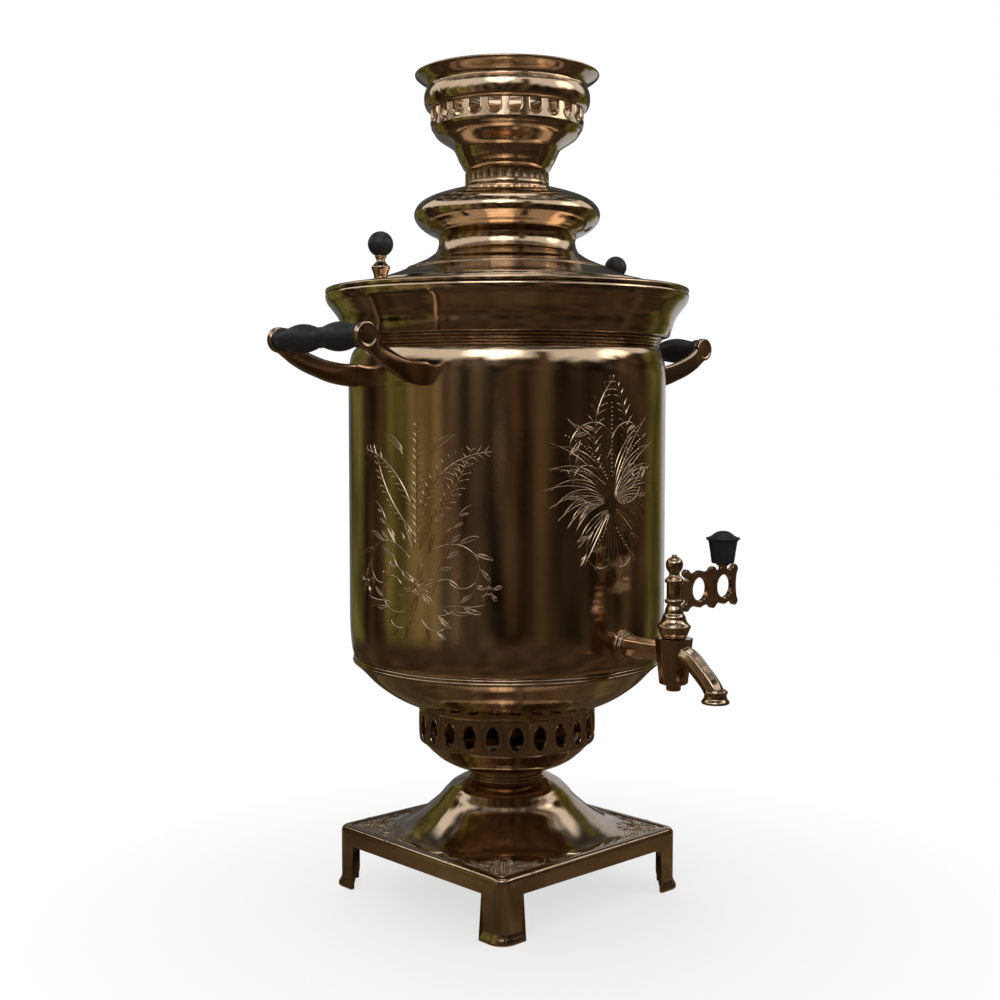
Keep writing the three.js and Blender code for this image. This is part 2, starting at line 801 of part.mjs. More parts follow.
function knobBall() {
  const seat = brimAtKnob + 2 * fit + stemFootRadius * brimSlope + stemHeight;
  const flat = Math.asin(stemCupRadius / ballRadius);
  const middle = seat + ballRadius * Math.cos(flat);
  const steps = 5;
  const round = Array.from({ length: steps + 1 }, (_, i) => {
    const angle = flat + (i / steps) * (Math.PI - flat);
    return [ballRadius * Math.sin(angle), middle - ballRadius * Math.cos(angle)];
  });
  round[steps][0] = 0;
  const hole = studRadius + fit;
  const depth = seat + studAbove + fit;
  return turned([[0, depth], [hole, depth], [hole, seat], ...round], smallTurn);
}

function knobNut() {
  const under = brimAtKnob - sheet * 2 - nutRadius * brimSlope;
  const shape = polygonShape(6, nutRadius);
  shape.holes.push(polygonShape(tinyTurn, studRadius + fit));
  return raised(shape, under - nutThickness, under);
}

for (const [side, word] of [[-1, "left"], [1, "right"]]) {
  add(`lid_stem_${word}`, knobStem(), "castBrass").position.x = side * knobReach;
  add(`lid_ball_${word}`, knobBall(), "blackWood").position.x = side * knobReach;
  add(`lid_nut_${word}`, knobNut(), "castBrass").position.x = side * knobReach;
}

// Crown

function crownSocket() {
  const inner = socketRadius - socketWall;
  const lip = inner - socketLip;
  const section = [
    [socketRadius, socketBase],
    [socketRadius, crownBase],
    [lip, crownBase],
    [lip, tubeTop + fit],
    [inner, tubeTop + fit],
    [inner, socketBase],
  ];
  return turned(section, middleTurn);
}

// Shares from the crown's socket out to its gallery, and up to it.
const crownBowlShares = [
  [0, 0],
  [0.12, 0.1],
  [0.21, 0.24],
  [0.31, 0.42],
  [0.45, 0.57],
  [0.68, 0.7],
  [0.89, 0.86],
  [0.96, 1],
];

function crownBowl() {
  const start = socketRadius - sheet / 2;
  const bulge = smooth(run(crownBowlShares, start, galleryRadius, crownBase, galleryBase), 6);
  const lip = socketRadius - socketWall - socketLip;
  const outline = [[lip, crownBase], ...bulge];
  return turned(sheetSection(outline, sheet, "upright", "level", 2), bigTurn);
}

function crownGallery() {
  const wall = polygonShape(galleryHoles, galleryRadius);
  wall.holes.push(polygonShape(galleryHoles, galleryRadius - sheet));
  const half = galleryHoleWidth / 2;
  const sill = galleryBase + galleryHoleSill;
  const head = crownRimBase - galleryHoleHead;
  const shape = new THREE.Shape();
  shape.moveTo(-half, head).lineTo(-half, sill + half);
  shape.absarc(0, sill + half, half, Math.PI, 2 * Math.PI);
  shape.lineTo(half, head);
  const hole = pushedForward(shape, galleryRadius - overrun, galleryRadius + overrun, 2);
  return cut(raised(wall, galleryBase, crownRimBase), ...allRound(hole, galleryHoles));
}

// Shares of the rim: out to its bead, then from the groove above the bead out to the flared edge.
const rimBeadShares = [[0, 0], [0.7, 0.08], [1, 0.28], [0.9, 0.45]];
const rimFlareShares = [[0.18, 0.7], [0.6, 0.84], [1, 0.94]];
const rimGrooveShare = 0.58;

function crownRim() {
  const bead = galleryRadius + crownBeadProud;
  const groove = galleryRadius + crownBeadProud / 2;
  const outline = [
    ...run(rimBeadShares, galleryRadius, bead, crownRimBase, crownTop),
    [groove, crownRimBase + rimGrooveShare * crownRimHeight],
    ...run(rimFlareShares, groove, crownRimRadius, crownRimBase, crownTop),
    [crownRimRadius - sheet / 4, crownTop],
  ];
  const section = sheetSection(outline, sheet);
  const flatEdge = section[outline.length];
  flatEdge[0] = crownRimRadius - crownRimFlat;
  return turned(section, middleTurn);
}

add("crown_socket", crownSocket(), "castBrass");
add("crown_bowl", crownBowl(), "brass");
add("crown_gallery", crownGallery(), "brass");
add("crown_rim", crownRim(), "brass");

// Handles. Each handle is drawn on the +X side, and the other one is the same turned half round.

// Upper and lower edge of an arm from the disc in to the body, as shares of the grip's standoff
// and of the arm's drop, and the places on the standoff where the edges run level into the body.
const armUpperShares = [[-0.08, 0.2], [-0.15, 0.02], [-0.26, -0.15], [-0.42, -0.31], [-0.6, -0.4]];
const armLowerShares = [[0.1, -0.17], [0, -0.3], [-0.18, -0.53], [-0.42, -0.79], [-0.72, -0.97]];
const armUpperLevelShare = -0.9;
const armLowerLevelShare = -0.95;

function handleArm() {
  const faceY = gripHalf + discThickness + fit;
  const back = faceY - discThickness;
  const depthX = gripStandoff + bodyRadius / 4;
  const place = ([across, up]) => new THREE.Vector2(across * gripStandoff, up * armDrop);
  const upper = armUpperShares.map(place);
  const lower = armLowerShares.map(place);
  const level = (edge, share, height) => {
    edge.push(new THREE.Vector2(share * gripStandoff, height), new THREE.Vector2(-depthX, height));
  };
  level(upper, armUpperLevelShare, armDepth - armDrop);
  level(lower, armLowerLevelShare, -armDrop);
  const upperLine = new THREE.SplineCurve(upper).getPoints(8);
  const lowerLine = new THREE.SplineCurve(lower).getPoints(8);
  const shape = new THREE.Shape([...upperLine, ...lowerLine.reverse()]);
  const arm = raised(shape, faceY - armInset - armThickness, faceY - armInset);
  const plate = turned(
    [
      [0, back],
      [discRadius - discBevel, back],
      [discRadius, back + discBevel],
      [discRadius, faceY - discBevel],
      [discRadius - discBevel, faceY],
      [0, faceY],
    ],
    smallTurn,
  );
  const socket = cylinder(rodRadius + fit, back - overrun, back + rodSeat + fit, tinyTurn);
  const upright = join(arm, plate).rotateX(Math.PI / 2).translate(gripReach, 0, gripAxis);
  const hole = socket.rotateX(Math.PI / 2).translate(gripReach, 0, gripAxis);
  const body = cylinder(bodyRadius + fit, shellBase, shellTop, 4 * bigTurn);
  return cut(upright, hole, body);
}

// Swell of the grip and distance from its middle, and the ends of its collar's slope.
const gripShares = [[0.2, 0], [0, 0.06], [0.7, 0.26], [1, 0.45], [0.82, 0.64], [0.3, 0.8]];
const gripNeckShare = 0.88;
const gripCollarShare = 0.91;

// Turned grip with two swells, a small bead in the middle and a collar at each end.
function grip() {
  const slope = [[gripNeckRadius, gripNeckShare * gripHalf], [gripEndRadius, gripCollarShare * gripHalf]];
  const swell = run(gripShares, gripWaistRadius, gripRadius, 0, gripHalf);
  const upper = [...swell, ...slope, [gripEndRadius, gripHalf]];
  const lower = upper.slice(1).reverse().map(([r, z]) => [r, -z]);
  const bore = rodRadius + fit;
  const section = [...lower, ...upper, [bore, gripHalf], [bore, -gripHalf]];
  return turned(section, smallTurn).rotateX(Math.PI / 2).translate(gripReach, 0, gripAxis);
}

function gripRod() {
  const reach = gripHalf + fit + rodSeat;
  return cylinder(rodRadius, -reach, reach, tinyTurn).rotateX(Math.PI / 2).translate(gripReach, 0, gripAxis);
}

function handleStrap() {
  const inner = bodyRadius + fit;
  const outer = inner + strapThickness;
  const armFace = gripHalf + discThickness - armInset - armThickness;
  const end = Math.asin(armFace / outer) - fit / outer;
  const shape = new THREE.Shape();
  shape.absarc(0, 0, outer, -end, end);
  shape.absarc(0, 0, inner, end, -end, true);
  return raised(shape, gripAxis - armDrop, gripAxis - armDrop + strapHeight, tinyTurn / 2);
}

for (const [turn, word] of [[Math.PI, "left"], [0, "right"]]) {
  const handle = new THREE.Group();
  handle.rotation.z = turn;
  samovar.add(handle);
  const [first, second] = turn ? ["back", "front"] : ["front", "back"];
  add(`handle_${word}_arm_${first}`, handleArm(), "castBrass", handle);
  add(`handle_${word}_arm_${second}`, mirroredArm(), "castBrass", handle);
  add(`handle_${word}_grip`, grip(), "blackWood", handle);
  add(`handle_${word}_rod`, gripRod(), "steel", handle);
  add(`handle_${word}_strap`, handleStrap(), "castBrass", handle);
}

// The other arm of a handle: the same casting seen in a mirror, its faces turned back out.
function mirroredArm() {
  const geometry = handleArm().scale(1, -1, 1);
  const order = geometry.index.array;
  for (let i = 0; i < order.length; i += 3) [order[i], order[i + 1]] = [order[i + 1], order[i]];
  return geometry;
}

// Tap. It is drawn with the plug's axis on Z and the pipe running back along +Y.

function flange() {
  const bore = clearOf(shankRadius, pipeSides);
  const section = [
    [bore, -overrun],
    [flangeRadius, -overrun],
    [flangeRadius, flangeThickness],
    [flangeCollarRadius, flangeThickness],
    [flangeCollarRadius, flangeThickness + flangeCollarThickness],
    [bore, flangeThickness + flangeCollarThickness],
  ];
  const body = cylinder(bodyRadius + fit, shellBase, shellTop, 4 * bigTurn);
  const ring = turned(section, pipeSides).rotateX(Math.PI / 2).translate(0, -bodyRadius, tapAxis);
  return cut(ring, body);
}

function plugOutline(gap) {
  const taper = (plugTopRadius - plugBottomRadius) / valveHeight;
  const bottom = valveBottom - plugTip;
  return [
    [0, bottom],
    [plugBottomRadius - taper * plugTip + gap, bottom],
    [plugTopRadius + gap, valveTop + fit],
  ];
}

function tapBody() {
  const pipeEnd = pipeLength - flangeThickness - flangeCollarThickness - fit;
  const pipe = cylinder(pipeRadius, 0, pipeEnd, pipeSides).rotateX(-Math.PI / 2);
  const shank = cylinder(shankRadius, 0, pipeLength + shankLength, smallTurn).rotateX(-Math.PI / 2);
  const valveOutline = [[0, -valveHeight], [valveBottomRadius, -valveHeight], [valveTopRadius, 0], [0, 0]];
  const valve = turned(valveOutline, pipeSides);
  const waterEnd = pipeLength + shankLength + overrun;
  const waterway = cylinder(waterBore, -2 * pipeRadius, waterEnd, tinyTurn).rotateX(-Math.PI / 2);
  const top = valveTop + overrun;
  const holeTop = [[plugTopRadius + runningFit, top], [0, top]];
  const plugHole = turned([...plugOutline(runningFit), ...holeTop], smallTurn);
  const pipeAndShank = [pipe, shank].map((tube) => tube.translate(0, 0, tapAxis));
  const solid = join(...pipeAndShank, valve.translate(0, 0, valveTop));
  return cut(solid, waterway.translate(0, 0, tapAxis), plugHole);
}

// A section carried from the valve body out and down to the mouth, square to its path. Both ends
// are carried on by an extra length.
function spoutSweep(radius, sides, extra) {
  const section = polygonShape(sides, radius).getPoints();
  const lead = spoutReach - spoutBend;
  const mouth = tapAxis - spoutBend - spoutDrop - extra;
  const points = [new THREE.Vector3(0, extra, tapAxis)];
  for (let i = 0; i <= spoutSteps; i++) {
    const angle = (i / spoutSteps) * (Math.PI / 2);
    const [out, down] = [Math.sin(angle), 1 - Math.cos(angle)];
    points.push(new THREE.Vector3(0, -lead - spoutBend * out, tapAxis - spoutBend * down));
  }
  points.push(new THREE.Vector3(0, -spoutReach, mouth));
  const side = new THREE.Vector3(1, 0, 0);
  const rings = points.map((point, i) => {
    const next = points[Math.min(i + 1, points.length - 1)];
    const ahead = next.clone().sub(points[Math.max(i - 1, 0)]).normalize();
    const up = ahead.cross(side);
    return section.map((p) => point.clone().addScaledVector(side, p.x).addScaledVector(up, p.y).toArray());
  });
  return lofted(rings, section);
}

// Shares from the spout out to the edge of its mouth, and up the mouth.
const mouthShares = [[0.93, 0], [1, 0.1], [0.2, 0.4], [0.05, 0.78], [0.3, 0.92], [0, 1]];

function tapSpout() {
  const outletZ = tapAxis - spoutBend - spoutDrop;
  const mouthTop = outletZ + mouthHeight;
  const outer = spoutSweep(spoutRadius, pipeSides, 0);
  const mouth = run(mouthShares, spoutRadius, mouthRadius, outletZ, mouthTop);
  const mouthOutline = [[0, outletZ], ...mouth, [0, mouthTop]];
  const mouthSolid = turned(mouthOutline, smallTurn).translate(0, -spoutReach, 0);
  const bore = spoutSweep(waterBore, tinyTurn, overrun);
  const side = [[valveBottomRadius + fit, valveBottom], [valveTopRadius + fit, valveTop]];
  const valve = turned([[0, valveBottom], ...side, [0, valveTop]], pipeSides);
  return cut(join(outer, mouthSolid), bore, valve);
}

// Shares of the plug's bell, from its skirt in to its neck, and of its finial, from the neck out.
const bellShares = [[0, 0], [0.28, 0.08], [0.52, 0.3], [0.68, 0.62], [1, 1]];
const finialShares = [
  [0, 0.08],
  [0, 0.2],
  [0.8, 0.34],
  [1, 0.5],
  [0.84, 0.7],
  [0.1, 0.84],
  [0.05, 0.92],
  [-1.1, 1],
];

function tapPlug() {
  const skirtBase = valveTop + plugNeckHeight;
  const skirtTop = skirtBase + plugSkirtHeight;
  const bellTop = skirtTop + plugBellHeight;
  const ringTop = bellTop + barrelRingHeight;
  const barrelTop = ringTop + barrelHeight;
  const upperRingTop = barrelTop + barrelRingHeight;
  const top = upperRingTop + finialHeight;
  const wide = barrelRadius + barrelRing;
  const bell = run(bellShares, plugSkirtRadius, plugBellRadius, skirtTop, bellTop);
  const finial = run(finialShares, finialNeckRadius, finialRadius, upperRingTop, top);
  const outline = [
    ...plugOutline(0),
    [plugTopRadius + sheet / 2, skirtBase],
    [plugSkirtRadius, skirtTop - plugSkirtHeight / 5],
    ...bell,
    [wide, bellTop + barrelRingHeight / 3],
    [wide, ringTop - barrelRingHeight / 4],
    [barrelRadius, ringTop],
    [barrelRadius, barrelTop],
    [wide, barrelTop + barrelRingHeight / 5],
    ...finial,
    [0, top],
  ];
  const solid = turned(outline, smallTurn);
  const bore = cylinder(waterBore, -2 * plugTopRadius, 2 * plugTopRadius, tinyTurn).rotateY(Math.PI / 2);
  return cut(solid, bore.translate(0, 0, tapAxis));
}

// Middle height of the plug's barrel, where the key plate is fixed.
const bellHead = valveTop + plugNeckHeight + plugSkirtHeight + plugBellHeight;
const keyMiddle = bellHead + barrelRingHeight + barrelHeight / 2;

// Shares of the horn's radius and of the tongue's half height in the curve of the plate's far end,
// and of the horn's radius in the hook over the tongue.
const keyEndShares = [[0.7, 1.2], [0.4, 0]];
const keyHookShare = 0.6;

// Key plate with three pairs of horns, scalloped edges between them and two round holes.
function tapKey() {
  const first = barrelRadius + barrelRing + fit + keyHornRadius;
  const last = keyLength - keyHornRadius;
  const stations = [first, (first + last) / 2, last];
  const edge = keyHalfHeight - keyHornRadius;
  const upperEdge = [];
  for (let bay = 0; bay < 2; bay++) {
    const [from, to] = [stations[bay], stations[bay + 1]];
    const middle = (from + to) / 2;
    const low = keyHalfHeight - keyScallop;
    upperEdge.push(
      [from, keyHalfHeight],
      [from + keyHornRadius, edge],
      [(from + middle) / 2, low - keyScallop / 4],
      [middle, low + keyCusp],
      [(middle + to) / 2, low - keyScallop / 4],
      [to - keyHornRadius, edge],
    );
  }
  upperEdge.push([last, keyHalfHeight], [keyLength, edge]);
  const endCurve = keyEndShares.map(([across, up]) => {
    return [keyLength - across * keyHornRadius, up * keyTongueHalf];
  });
  const hook = [
    [barrelRadius + fit, keyTongueHalf],
    [first, keyTongueHalf],
    [first + keyHookShare * keyHornRadius, edge - keyHornRadius],
    [first - keyHornRadius, edge],
  ];
  const half = [...hook, ...upperEdge, ...endCurve];
  const mirrored = half.slice(0, -1).reverse().map(([x, z]) => [x, -z]);
  const shape = new THREE.Shape([...half, ...mirrored].map(([x, z]) => new THREE.Vector2(x, z)));
  for (const bay of [0, 1]) {
    const middle = (stations[bay] + stations[bay + 1]) / 2;
    shape.holes.push(polygonShape(smallTurn, keyHoleRadius, keyHoleRadius, [middle, 0]));
  }
  const plate = raised(shape, -keyThickness / 2, keyThickness / 2, tinyTurn).rotateX(Math.PI / 2);
  const postFoot = keyMiddle + keyHoleRadius + keyPostRadius / 2;
  const postTop = keyMiddle + keyHalfHeight + keyPostHeight;
  const post = cylinder(keyPostRadius, postFoot, postTop, tinyTurn).translate(keyKnobReach, 0, 0);
  return join(plate.translate(0, 0, keyMiddle), post);
}

// Shares of the knob's height at the two ends of its brim's underside, and of its domed top.
const knobBrimShares = [0.68, 0.76];
const knobDomeShares = [[0, 0.78], [0.12, 0.81], [0.42, 0.88], [0.6, 0.97], [1, 1]];

function tapKnob() {
  const base = keyMiddle + keyHalfHeight + fit;
  const top = base + knobHeight;
  const [sideTop, brim] = knobBrimShares.map((share) => base + share * knobHeight);
  const side = [[knobBottomRadius, base], [knobTopRadius, sideTop], [knobFlangeRadius, brim]];
  const crown = run(knobDomeShares, knobFlangeRadius, 0, base, top);
  const hole = keyPostRadius + fit;
  const depth = keyMiddle + keyHalfHeight + keyPostHeight + fit;
  const outline = [[0, depth], [hole, depth], [hole, base], ...side, ...crown];
  return turned(outline, smallTurn).translate(keyKnobReach, 0, 0);
}

// Washer and nut on the shank, inside the shell.
function insideRing(sides, radius, from, thickness) {
  const shape = polygonShape(sides, radius);
  shape.holes.push(polygonShape(smallTurn, shankRadius + fit));
  return raised(shape, from, from + thickness).rotateX(-Math.PI / 2).translate(0, 0, tapAxis);
}

const tap = new THREE.Group();
tap.position.y = -plugReach;
samovar.add(tap);
const wallBend = washerRadius * Math.tan(Math.PI / bigTurn) + shellTaper / 2;
const wallInside = pipeLength + sheet + wallBend;
const nutStart = wallInside + washerThickness + fit;
add("tap_flange", flange(), "castBrass");
add("tap_body", tapBody(), "castBrass", tap);
add("tap_spout", tapSpout(), "castBrass", tap);
add("tap_plug", tapPlug(), "castBrass", tap);
add("tap_key", tapKey(), "castBrass", tap);
add("tap_knob", tapKnob(), "blackWood", tap);
const washer = insideRing(smallTurn, washerRadius, wallInside, washerThickness);
add("tap_washer", washer, "fibre", tap);
add("tap_nut", insideRing(6, tapNutRadius, nutStart, tapNutThickness), "castBrass", tap);

export default samovar;
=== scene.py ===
import math

import bmesh
import bpy
import numpy as np
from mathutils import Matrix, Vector


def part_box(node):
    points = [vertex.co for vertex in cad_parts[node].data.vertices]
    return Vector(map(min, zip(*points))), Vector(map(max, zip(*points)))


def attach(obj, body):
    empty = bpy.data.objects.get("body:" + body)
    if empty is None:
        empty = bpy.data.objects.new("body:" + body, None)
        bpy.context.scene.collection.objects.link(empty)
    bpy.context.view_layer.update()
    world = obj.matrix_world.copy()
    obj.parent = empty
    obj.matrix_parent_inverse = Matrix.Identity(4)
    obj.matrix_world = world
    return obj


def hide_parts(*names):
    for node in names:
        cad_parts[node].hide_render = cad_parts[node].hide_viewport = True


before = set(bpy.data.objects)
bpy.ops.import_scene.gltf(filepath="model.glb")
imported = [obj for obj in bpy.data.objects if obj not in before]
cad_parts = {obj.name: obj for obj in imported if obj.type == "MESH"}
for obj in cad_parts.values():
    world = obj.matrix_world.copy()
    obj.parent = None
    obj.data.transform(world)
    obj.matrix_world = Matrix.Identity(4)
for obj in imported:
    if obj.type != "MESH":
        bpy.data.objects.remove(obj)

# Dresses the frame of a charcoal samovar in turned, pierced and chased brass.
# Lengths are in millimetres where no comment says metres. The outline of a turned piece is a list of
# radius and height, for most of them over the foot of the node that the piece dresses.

bl_info = {
    "name": "Samovar Dresser",
    "version": (1, 0, 0),
    "blender": (4, 5, 0),
    "location": "View3D > Sidebar > Samovar",
    "description": "Builds the visible pieces of a polished brass samovar round its frame",
    "category": "Add Mesh",
}

MM = 0.001
TURN = 2 * math.pi
QUARTER = math.pi / 2
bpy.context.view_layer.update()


def span(node):
    """Lowest and highest corner of a CAD node, in millimetres."""
    low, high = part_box(node)
    return np.array(low) / MM, np.array(high) / MM


def middle_of(node):
    """Middle of a node's box."""
    low, high = span(node)
    return (low + high) / 2


def foot_of(node):
    """Height of a node's lowest point."""
    return span(node)[0][2]


def head_of(node):
    """Height of a node's highest point."""
    return span(node)[1][2]


def reach_of(node):
    """Half of a node's width along X: the radius of a turned node."""
    low, high = span(node)
    return (high[0] - low[0]) / 2


AXIS = middle_of("body_shell")[:2]
PLUG_AXIS = middle_of("tap_plug")[:2]
BODY_RADIUS = reach_of("body_shell")


# Lines, drawn as rows of radius and height


def flow(points, steps=6):
    """Smooth line through the points. Each span is a cubic whose end slopes are half the chord
    between the neighbours of its end points (Catmull-Rom)."""
    p = np.asarray(points, float)
    p = np.vstack([2 * p[0] - p[1], p, 2 * p[-1] - p[-2]])
    a, b, c, d = p[:-3, None], p[1:-2, None], p[2:-1, None], p[3:, None]
    t = np.linspace(0, 1, steps, endpoint=False)[None, :, None]
    q = 0.5 * (2 * b + (c - a) * t + (2 * a - 5 * b + 4 * c - d) * t**2 + (3 * b - a - 3 * c + d) * t**3)
    return np.vstack([q.reshape(-1, p.shape[1]), p[-2]])


def softened(line, size, steps=4, closed=False):
    """The line with each corner of more than 20 degrees turned into a short curve: the quadratic
    Bezier from a point `size` before the corner to a point `size` after it."""
    line = np.asarray(line, float)
    back = np.roll(line, 1, axis=0) - line
    ahead = np.roll(line, -1, axis=0) - line
    back_length = np.maximum(np.linalg.norm(back, axis=1), 1e-9)[:, None]
    ahead_length = np.maximum(np.linalg.norm(ahead, axis=1), 1e-9)[:, None]
    cosine = -np.sum(back * ahead, axis=1) / (back_length * ahead_length)[:, 0]
    corner = cosine < math.cos(math.radians(20))
    if not closed:
        corner[[0, -1]] = False
    reach = np.minimum(size, 0.45 * np.minimum(back_length, ahead_length))
    first = (line + back / back_length * reach)[:, None]
    last = (line + ahead / ahead_length * reach)[:, None]
    t = np.linspace(0, 1, steps)[None, :, None]
    curve = (1 - t) ** 2 * first + 2 * t * (1 - t) * line[:, None] + t**2 * last
    curve[~corner, 0] = line[~corner]
    kept = corner[:, None] | (np.arange(steps) == 0)[None]
    return curve[kept]


def along_line(line):
    """Distance of each point from the line's start, measured along it."""
    return np.concatenate([[0], np.cumsum(np.linalg.norm(np.diff(line, axis=0), axis=1))])


def spaced(line, count, endpoint=True):
    """The line taken at even spacing."""
    along = along_line(line)
    at = np.linspace(0, along[-1], count, endpoint=endpoint)
    return np.stack([np.interp(at, along, line[:, i]) for i in (0, 1)], axis=1)


def walled(outer, thickness, spacing):
    """Closed section of a sheet whose outer face is the line. The inner face is the line itself,
    taken at even spacing and moved sideways by the thickness along its smoothed normal."""
    outer = np.asarray(outer, float)
    line = spaced(outer, max(3, int(along_line(outer)[-1] / spacing)))
    padded = np.pad(np.gradient(line, axis=0), ((2, 2), (0, 0)), mode="edge")
    smooth = sum(padded[i : i + len(line)] for i in range(5))
    smooth /= np.linalg.norm(smooth, axis=1)[:, None]
    inner = line + thickness * np.stack([-smooth[:, 1], smooth[:, 0]], axis=1)
    inner[:, 1] = np.clip(inner[:, 1], outer[:, 1].min(), outer[:, 1].max())
    return np.vstack([outer, inner[::-1]])


def fitted(line, node, drawn=None):
    """The line stretched from its drawn height, which is its last point's where none is given, to
    the node's height, and set on the node's foot."""
    line = np.asarray(line, float)
    drawn = line[-1, 1] if drawn is None else drawn
    return line * (1, (head_of(node) - foot_of(node)) / drawn) + (0, foot_of(node))


def mirrored_down(line):
    """A line that ends on the level, carried on by its own mirror image below."""
    line = np.asarray(line, float)
    return np.vstack([line, line[-2::-1] * (1, -1)])


# Surfaces, as (points, faces)


def grid_faces(rows, columns, loop_rows, loop_columns):
    """Quads between neighbouring points of a grid, as rows of four point numbers."""
    r, c = np.meshgrid(
        np.arange(rows if loop_rows else rows - 1),
        np.arange(columns if loop_columns else columns - 1),
        indexing="ij",
    )
    here, below, beside = r * columns, (r + 1) % rows * columns, (c + 1) % columns
    return np.stack([here + c, here + beside, below + beside, below + c], axis=-1).reshape(-1, 4)


def outward(points, faces):
    """The faces, all turned round where the volume that they enclose comes out negative."""
    a, b, c, d = (points[faces[:, i]] for i in range(4))
    volume = np.sum(a * np.cross(b, c)) + np.sum(a * np.cross(c, d))
    return faces[:, ::-1] if volume < 0 else faces


def skin(grid, loop_rows=True, loop_columns=True):
    """Surface over a grid of points, facing outwards."""
    rows, columns = grid.shape[:2]
    points = grid.reshape(-1, 3)
    centred = points - points.mean(axis=0)
    return points, outward(centred, grid_faces(rows, columns, loop_rows, loop_columns))


def gathered(parts):
    """Several surfaces as one."""
    offsets = np.cumsum([0] + [len(points) for points, _ in parts])
    points = np.vstack([points for points, _ in parts])
    faces = np.vstack([faces + offset for (_, faces), offset in zip(parts, offsets)])
    return points, faces


def turned(section, columns=144, centre=None, shape=None, closed=True):
    """Body of revolution about an upright axis: x = r sin a, y = -r cos a, with r scaled by
    shape(a, z) where one is given. An open section starts and ends on the axis."""
    section = np.asarray(section, float)
    centre = AXIS if centre is None else centre
    a = np.linspace(0, TURN, columns, endpoint=False)[None]
    r, z = section[:, 0:1], section[:, 1:2]
    r = r * (shape(a, z) if shape else np.ones_like(a))
    grid = np.stack([centre[0] + r * np.sin(a), centre[1] - r * np.cos(a), z + 0 * a], axis=-1)
    return skin(grid, loop_rows=closed)


def spun_sheet(outer, spacing, columns):
    """A turned sheet whose outer face is the line."""
    return turned(walled(outer, wall(), spacing), columns)


def laid(surface, centre):
    """A turned surface made about Z at the origin, laid so that its Z runs along +Y."""
    points, faces = surface
    return points[:, (1, 2, 0)] + np.asarray(centre), faces


SIDES = 8  # flat sides of the tap's flange, pipe, valve body, spout and barrel


def facets(blunt=0.02):
    """Scale that turns a circle of corner radius r into a polygon with a corner at a = 0: the
    distance to a flat side over the cosine of the angle from its middle, with blunted corners."""
    half = math.pi / SIDES

    def scale(a, z):
        polygon = math.cos(half) / np.cos(np.mod(a, 2 * half) - half)
        return np.minimum(polygon, 1 - blunt) + 0 * z

    return scale


def faceted(section, centre, blunt=0.02, closed=False):
    """A turned surface with flat sides."""
    return turned(section, SIDES * 12, centre, facets(blunt), closed)


def mirrored(surface, axis, middle):
    """The surface seen in a mirror square to an axis, facing outwards again."""
    points, faces = surface
    points = points.copy()
    points[:, axis] = 2 * middle - points[:, axis]
    return points, faces[:, ::-1]


def turned_round(points, turn):
    """Points turned about the upright axis through the origin."""
    c, s = math.cos(turn), math.sin(turn)
    flat = [c * points[:, 0] - s * points[:, 1], s * points[:, 0] + c * points[:, 1]]
    return np.column_stack([*flat, points[:, 2:]])


# Finishes


def linked(tree, kind, sources, **settings):
    """A new node with the sources on its first inputs. Returns its first output."""
    made = tree.nodes.new(kind)
    for key, value in settings.items():
        setattr(made, key, value)
    for source, socket in zip(sources, made.inputs):
        tree.links.new(source, socket)
    return made.outputs[0]


def seen_plainly(tree):
    """One where the camera, a shiny face or a clear one sees the surface, and zero elsewhere."""
    rays = tree.nodes.new("ShaderNodeLightPath").outputs
    seen = rays["Is Camera Ray"]
    for ray in ("Is Glossy Ray", "Is Transmission Ray"):
        seen = linked(tree, "ShaderNodeMath", (seen, rays[ray]), operation="MAXIMUM")
    return seen


def shown(tree, output, factor, first, second):
    """Sends a mix of two shaders to the output node."""
    blend = linked(tree, "ShaderNodeMixShader", (factor, first, second))
    tree.links.new(blend, tree.nodes[output].inputs["Surface"])


